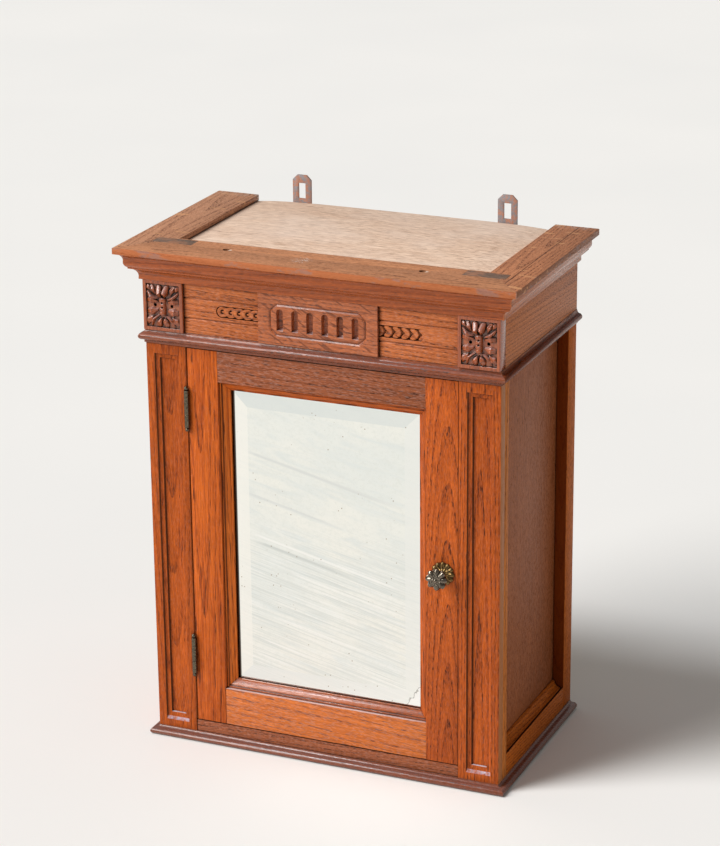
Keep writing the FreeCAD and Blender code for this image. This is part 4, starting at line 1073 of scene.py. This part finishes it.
def acanthus(across, up):
    """The height of the carved leaf at one place, the same on both sides of its stem."""
    place = Vector((abs(across), up))
    height = max(FIELD_RISE, *(leaf_height(place, *leaf) for leaf in LEAVES))
    if abs(across) < STEM_HALF_WIDTH and STEM_FOOT < up < STEM_HEAD:
        span = (up - STEM_FOOT) / (STEM_HEAD - STEM_FOOT)
        section = math.sqrt(1 - (across / STEM_HALF_WIDTH) ** 2)
        height = max(height, STEM_HEIGHT * section * min(1, STEM_FULLNESS * span * (1 - span)))
    for level, radius in STEM_BEADS:
        gap = math.hypot(across * BEAD_SQUASH, up - level) / radius
        if gap < 1:
            height = max(height, STEM_HEIGHT - BEAD_SINK + BEAD_RISE * math.sqrt(1 - gap ** 2))
    for aside, level, radius in HOLES:
        if math.hypot(place.x - aside, place.y - level) < radius:
            height = 0.0
    return height


SCALE_PITCH = 10.4
SCALE_RADIUS = 6.9
SCALE_COUNT = 5
FIRST_SCALE = 0.45
SCALE_RISE = 1.5
SCALE_TILT = 0.11
SCALE_CROWN = 0.8
PUNCH = (1.1, 2.7)
PUNCH_OPENING = -0.6
PUNCH_FLOOR = 0.2


def punched_scales(across, up):
    """Overlapping round scales, each proud at its outer edge, with a C-shaped punch mark."""
    height = 0.0
    for index in range(SCALE_COUNT):
        aside = across - (index + FIRST_SCALE) * SCALE_PITCH
        gap = math.hypot(aside, up)
        if gap >= SCALE_RADIUS:
            continue
        rise = SCALE_RISE + SCALE_TILT * aside + SCALE_CROWN * math.sqrt(1 - (gap / SCALE_RADIUS) ** 2)
        if PUNCH[0] < gap < PUNCH[1] and aside > PUNCH_OPENING * gap:
            rise = PUNCH_FLOOR
        height = max(height, rise)
    return height


CHEVRON_START = -3.0
CHEVRON_TAIL = 1.4
CHEVRON_TIP = 8.8
CHEVRON_BOW = 0.11
CHEVRON_NOTCH = (4.2, 3.6)
CHEVRON_HALF_HEIGHT = 6.6
CHEVRON_RISE = 1.4
CHEVRON_SLOPE = 0.9


def chevron_scales(across, up):
    """Overlapping leaves that point away from the tablet, each notched where the one behind it starts."""
    if abs(up) > CHEVRON_HALF_HEIGHT:
        return 0.0
    height = 0.0
    depth, half = CHEVRON_NOTCH
    for index in range(SCALE_COUNT + 1):
        along = across - CHEVRON_START - index * SCALE_PITCH
        tail = depth * max(0, 1 - abs(up) / half) - CHEVRON_TAIL
        tip = CHEVRON_TIP - CHEVRON_BOW * up ** 2
        if tail < along < tip:
            height = max(height, CHEVRON_RISE + CHEVRON_SLOPE * (along - tail) / (tip - tail))
    return height


def relief(bm, low, high, floor, height_at):
    """A carved sheet over a sunk floor, closed behind; height_at takes millimetres from its middle."""
    width, rise = high[0] - low[0], high[1] - low[1]
    middle = Vector(((low[0] + high[0]) / 2, floor, (low[1] + high[1]) / 2))
    columns, rows = (round(size / (RELIEF_STEP * MM)) for size in (width, rise))
    stand = Matrix.Translation(middle) @ Matrix.Rotation(QUARTER_TURN, 4, "X")
    stand = stand @ Matrix.Diagonal((width / 2, rise / 2, 1, 1))
    sheet = bmesh.ops.create_grid(bm, x_segments=columns, y_segments=rows, size=1, matrix=stand)["verts"]
    for point in sheet:
        place = (point.co - middle) / MM
        point.co.y -= height_at(place.x, place.z) * MM
    bmesh.ops.smooth_vert(bm, verts=sheet, factor=RELIEF_SMOOTHING, use_axis_y=True)
    carved = set(sheet)
    rim = [edge for edge in bm.edges if edge.is_boundary and edge.verts[0] in carved]
    skirt = bmesh.ops.extrude_edge_only(bm, edges=rim)["geom"]
    for point in skirt:
        if isinstance(point, bmesh.types.BMVert):
            point.co.y = floor + RELIEF_SEAT
    back = [edge for edge in skirt if isinstance(edge, bmesh.types.BMEdge) and edge.is_boundary]
    bmesh.ops.holes_fill(bm, edges=back, sides=0)
    faces = {face for point in sheet for face in point.link_faces}
    bmesh.ops.recalc_face_normals(bm, faces=list(faces))


FRIEZE_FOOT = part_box("frieze_tablet")[0].z
FRIEZE_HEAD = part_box("front_cornice")[0].z
BLOCK_BORDER = 4.0 * MM
BLOCK_FIELD_DEPTH = 2.5 * MM
BLOCK_EASE = 0.3 * MM
CARVED = {
    "open_grain": 0.5,
    "gloss": 0.17,
    "shine": 0.8,
    "corner_dirt_and_shade": 1.0,
    "reach": 3.5,
    "deep_grime_and_shade": 0.5,
    "dust": 0.27,
    "rough_cut": 0.1,
}


def carved_block(side):
    node = f"{side}_carved_block"
    low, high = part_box(node)
    bm = ease(cad_copy(node), BLOCK_EASE)
    field_low = (low.x + BLOCK_BORDER, FRIEZE_FOOT + BLOCK_BORDER)
    field_high = (high.x - BLOCK_BORDER, FRIEZE_HEAD - BLOCK_BORDER)
    relief(bm, field_low, field_high, low.y + BLOCK_FIELD_DEPTH, acanthus)
    piece(f"{node}_wood", bm, oak(node, "Z", CARVED_BROWN, **CARVED), node, smooth=CARVED_ANGLE)


FRIEZE_EASE = 0.25 * MM
CHANNEL_LENGTH = 54.0 * MM
CHANNEL_HEIGHT = 14.0 * MM
CHANNEL_DEPTH = 2.5 * MM
CHANNEL_DROP = 29.5 * MM
STRIP = {"dash": 0.16, "sheen": 0.20, "gloss": 0.34, "corner_dirt_and_shade": 0.95}


def frieze_strip(side):
    node = f"{side}_frieze_strip"
    low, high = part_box(node)
    bm = ease(cad_copy(node), FRIEZE_EASE)
    level = FRIEZE_HEAD - CHANNEL_DROP
    foot, head = level - CHANNEL_HEIGHT / 2, level + CHANNEL_HEIGHT / 2
    half = CHANNEL_LENGTH / MM / 2
    if side == "left":
        field = (high.x - CHANNEL_LENGTH, foot), (high.x, head)
        relief(bm, *field, low.y + CHANNEL_DEPTH, lambda across, up: punched_scales(half - across, up))
    else:
        field = (low.x, foot), (low.x + CHANNEL_LENGTH, head)
        relief(bm, *field, low.y + CHANNEL_DEPTH, lambda across, up: chevron_scales(half + across, up))
    piece(f"{node}_wood", bm, oak(node, "X", FRIEZE_BROWN, **STRIP), node, smooth=CARVED_ANGLE)


LEVEL_SLACK = 0.1 * MM
FRONT_FACING = -0.9
FIELD_DEPTH = 1.5 * MM
FIELD_END = 51.0 * MM
FLUTE_DEPTH = 5.0 * MM
GROOVE_WIDTH = 3.8 * MM
GROOVE_DEPTH = 1.9 * MM
GROOVE_MIDDLE = 0.5
GOUGE = 2.6 * MM
GOUGE_SEGMENTS = 4
TABLET = {
    "rays": 0.8,
    "sheen": 0.10,
    "dust": 0.5,
    "gloss": 0.22,
    "shine": 0.4,
    "corner_dirt_and_shade": 0.85,
    "rough_cut": 0.2,
}


def corners_of(edges):
    return {point for edge in edges for point in edge.verts}


def frieze_tablet():
    """The fluted tablet: its eight-sided field is bounded by a V groove, and each flute is a gouge cut."""
    node = "frieze_tablet"
    low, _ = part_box(node)
    bm = cad_copy(node)
    floor = low.y + FIELD_DEPTH
    level = (FRIEZE_FOOT + FRIEZE_HEAD) / 2
    field = [face for face in bm.faces
             if face.normal.y < FRONT_FACING and abs(face.calc_center_median().y - floor) < LEVEL_SLACK]
    bmesh.ops.delete(bm, geom=field, context="FACES")
    open_edges = [edge for edge in bm.edges if edge.is_boundary]
    outline = [edge for edge in open_edges if min(abs(point.co.x) for point in edge.verts) > FIELD_END]
    rims = [edge for edge in open_edges if edge not in outline]
    for point in corners_of(rims):
        point.co.y = low.y
    inner = bmesh.ops.extrude_edge_only(bm, edges=outline)["geom"]
    reach = max(point.co.z - level for point in corners_of(outline))
    width = max(point.co.x for point in corners_of(outline))
    for share, depth, corners in (
        (GROOVE_MIDDLE, low.y + GROOVE_DEPTH, corners_of(outline)),
        (1.0, low.y, [point for point in inner if isinstance(point, bmesh.types.BMVert)]),
    ):
        for point in corners:
            point.co.x *= 1 - share * GROOVE_WIDTH / width
            point.co.z = level + (point.co.z - level) * (1 - share * GROOVE_WIDTH / reach)
            point.co.y = depth
    loops = rims + [edge for edge in inner if isinstance(edge, bmesh.types.BMEdge) and edge.is_boundary]
    bmesh.ops.triangle_fill(bm, edges=loops, use_beauty=True, normal=(0, -1, 0))
    bmesh.ops.recalc_face_normals(bm, faces=bm.faces)
    bottom = floor + FLUTE_DEPTH - LEVEL_SLACK
    gouged = [edge for edge in bm.edges
              if all(bottom < point.co.y < bottom + MM for point in edge.verts)
              and abs(edge.verts[0].co.x) < FIELD_END and edge.calc_face_angle(0) > SHARP_ANGLE]
    bmesh.ops.bevel(bm, geom=gouged, offset=GOUGE, offset_type="OFFSET", affect="EDGES",
                    segments=GOUGE_SEGMENTS, profile=0.5, material=-1, clamp_overlap=True)
    piece(f"{node}_wood", ease(bm, FRIEZE_EASE, 1), oak(node, "X", BROWN, **TABLET), node)


# The sunk top, a little crowned: full in the middle, low by the frame at its ends.

DRY = {"dash": 0.075, "open_grain": 1.1, "wear": 0.0, "corner_dirt_and_shade": 0.5, "gloss": 0.66}
TOP_EASE = 0.6 * MM
CROWN = 3.8 * MM
CROWN_POWER = 6
CROWN_CUTS = 40


def dust_top():
    node = "dust_top"
    low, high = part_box(node)
    bm = box_mesh(low, high)
    lengthwise = [edge for edge in bm.edges if abs(edge.verts[0].co.x - edge.verts[1].co.x) > MM]
    bmesh.ops.subdivide_edges(bm, edges=lengthwise, cuts=CROWN_CUTS, use_grid_fill=True)
    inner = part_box("left_top_board")[1].x
    for point in bm.verts:
        share = min(1, abs(point.co.x / inner))
        if point.co.z > high.z - MM:
            point.co.z += CROWN * (1 - share ** CROWN_POWER)
    piece(f"{node}_wood", ease(bm, TOP_EASE), oak(node, "X", DUSTY, marks=dusted, **DRY), node)


# Knob and rose: turned, then gathered into lobes round the knob's axis.

ROSE_PROFILE = (
    (0.0, 0.0), (13.4, 0.0), (13.7, 0.9), (13.1, 1.9), (11.8, 2.8), (10.0, 3.1), (8.2, 2.7), (6.8, 2.9),
    (5.8, 3.8), (5.0, 4.6), (0.0, 4.6),
)
HEAD_PROFILE = (
    (0.0, 3.2), (4.6, 3.2), (4.1, 7.0), (4.0, 12.0), (4.8, 15.4), (7.0, 17.0), (10.2, 17.4), (12.0, 18.4),
    (12.2, 19.8), (10.9, 21.6), (8.6, 23.0), (6.2, 23.2), (4.4, 23.9), (0.0, 24.0),
)
ROSE_LOBES = 12
ROSE_GATHER = (0.08, 2.4)
HEAD_LOBES = 8
HEAD_GATHER = (0.15, 3.6)
LOBE_MIDDLE = 0.6
TURN_STEPS = 144
BOSS_LEVEL = 23.2
BOSS_RADIUS = 2.8
BOSS_SEGMENTS = (20, 12)
PEARL_RING = 5.6
PEARL_RADIUS = 1.25
PEARL_SEGMENTS = (12, 8)


def lobed(centre, profile, lobes, spread, ridge):
    """Turns a profile of (radius, height) round the knob's axis and gathers it into lobes."""
    bm = bmesh.new()
    points = [bm.verts.new(centre + Vector((radius, -height, 0)) * MM) for radius, height in profile]
    edges = [bm.edges.new(pair) for pair in zip(points, points[1:])]
    bmesh.ops.spin(bm, geom=points + edges, cent=centre, axis=(0, 1, 0), angle=FULL_TURN, steps=TURN_STEPS,
                   use_merge=True)
    widest = max(radius for radius, _ in profile) * MM
    for point in bm.verts:
        offset = point.co - centre
        share = math.hypot(offset.x, offset.z) / widest
        lobe = abs(math.cos(lobes * math.atan2(offset.z, offset.x) / 2)) - LOBE_MIDDLE
        grow = 1 + spread * lobe * share ** 2
        point.co.x = centre.x + offset.x * grow
        point.co.z = centre.z + offset.z * grow
        if point.co.y < centre.y - LEVEL_SLACK:
            point.co.y -= ridge * lobe * share ** 2 * MM
    bmesh.ops.remove_doubles(bm, verts=bm.verts, dist=MERGE)
    bmesh.ops.recalc_face_normals(bm, faces=bm.faces)
    return bm


def bead(bm, spot, radius, segments):
    around, over = segments
    place = Matrix.Translation(spot)
    bmesh.ops.create_uvsphere(bm, u_segments=around, v_segments=over, radius=radius * MM, matrix=place)


def knob():
    low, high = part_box("knob_rose")
    centre = Vector(((low.x + high.x) / 2, high.y, (low.z + high.z) / 2))
    rose = lobed(centre, ROSE_PROFILE, ROSE_LOBES, *ROSE_GATHER)
    piece("knob_rose_brass", rose, aged_brass("rose_brass", *ROSE_BRASS), "knob_rose")
    head = lobed(centre, HEAD_PROFILE, HEAD_LOBES, *HEAD_GATHER)
    bead(head, centre - Vector((0, BOSS_LEVEL, 0)) * MM, BOSS_RADIUS, BOSS_SEGMENTS)
    for index in range(HEAD_LOBES):
        angle = (index + 0.5) * FULL_TURN / HEAD_LOBES
        spot = Vector((PEARL_RING * math.cos(angle), -BOSS_LEVEL, PEARL_RING * math.sin(angle)))
        bead(head, centre + spot * MM, PEARL_RADIUS, PEARL_SEGMENTS)
    piece("knob_brass", head, aged_brass("head_brass", *HEAD_BRASS), "knob")


HINGE_EASE = 0.15 * MM
HANGER_EASE = 0.5 * MM
LATCH_EASE = 0.3 * MM


def metalwork():
    """Hinges, hangers, screws and latch, with their CAD shapes and eased edges."""
    bronze = aged_brass("hinge_bronze", *HINGE_BRONZE)
    for node in ("hinge_frame_leaves", "hinge_door_leaves", "hinge_pins"):
        piece(f"{node}_bronze", ease(cad_copy(node), HINGE_EASE, 1), bronze, node)
    iron = hanger_iron("hanger_rust")
    for side in SIDES:
        node = f"{side}_hanger"
        piece(f"{node}_iron", ease(cad_copy(node), HANGER_EASE), iron, node)
    steel = dull_steel("screw_metal")
    for node in ("hanger_screws", "frame_hinge_screws", "door_hinge_screws"):
        frame["nodes"][node].data.materials.clear()
        frame["nodes"][node].data.materials.append(steel)
    for node in ("latch_tongue", "latch_nut"):
        piece(f"{node}_steel", ease(cad_copy(node), LATCH_EASE), steel, node)


def mirror():
    piece("mirror_glass_silvered", cad_copy("mirror_glass"), aged_mirror("silvering"), "mirror_glass")


# Stage: a plain pale floor, soft light from the front left, and the camera.

FLOOR_COLOUR = (0.90, 0.875, 0.84)
FLOOR_SHADE = (0.87, 0.85, 0.82)
FLOOR_PATCHES = (0.3, 0.7, 1.5)
FLOOR_ROUGHNESS = 0.85
FLOOR_REACH = 300
SKY_COLOUR = (1.0, 0.985, 0.96)
SKY_LIGHT = 0.26
LAMPS = {
    # where the light comes from, its spread in degrees, its strength, its colour
    "window": ((-2.3, -2.3, 2.0), 32, 2.35, (1.0, 0.99, 0.97)),
    "skylight": ((-1.05, -0.92, 2.42), 16, 1.4, (0.92, 0.96, 1.0)),
}


def stage():
    bm = bmesh.new()
    bmesh.ops.create_grid(bm, x_segments=1, y_segments=1, size=FLOOR_REACH)
    mesh = bpy.data.meshes.new("floor")
    bm.to_mesh(mesh)
    bm.free()
    finish = Finish("floor_pale")
    shade = finish.mix(finish.patchy(finish.place(), FLOOR_PATCHES), FLOOR_COLOUR, FLOOR_SHADE)
    mesh.materials.append(finish.surface({"Base Color": shade, "Roughness": FLOOR_ROUGHNESS}))
    floor = bpy.data.objects.new("floor", mesh)
    bpy.context.scene.collection.objects.link(floor)
    world = bpy.data.worlds.new("room")
    world.use_nodes = True
    sky = world.node_tree.nodes["Background"]
    sky.inputs["Color"].default_value = (*SKY_COLOUR, 1)
    sky.inputs["Strength"].default_value = SKY_LIGHT
    bpy.context.scene.world = world
    for name, (source, spread, strength, colour) in LAMPS.items():
        lamp = bpy.data.lights.new(name, "SUN")
        lamp.angle = math.radians(spread)
        lamp.energy = strength
        lamp.color = colour
        holder = bpy.data.objects.new(name, lamp)
        holder.location = source
        holder.rotation_euler = Vector(source).to_track_quat("Z", "Y").to_euler()
        bpy.context.scene.collection.objects.link(holder)


def camera():
    eye = bpy.data.cameras.new("camera")
    eye.sensor_width = SENSOR
    eye.lens = FOCAL_PIXELS * SENSOR / IMAGE_HEIGHT
    holder = bpy.data.objects.new("camera", eye)
    turn = Matrix.Rotation(CAMERA_YAW, 4, "Z") @ Matrix.Rotation(QUARTER_TURN - CAMERA_PITCH, 4, "X")
    back = turn @ Vector((0, 0, CAMERA_DISTANCE))
    stand = Matrix.Translation(CAMERA_TARGET + back) @ turn
    holder.matrix_world = stand @ Matrix.Rotation(CAMERA_ROLL, 4, "Z")
    bpy.context.scene.collection.objects.link(holder)
    bpy.context.scene.camera = holder


plain_boards()
for cabinet_side in SIDES:
    pilaster(cabinet_side)
    carved_block(cabinet_side)
    frieze_strip(cabinet_side)
frieze_tablet()
dust_top()
knob()
metalwork()
mirror()
stage()
camera()
bpy.context.scene.view_settings.view_transform = "Standard"
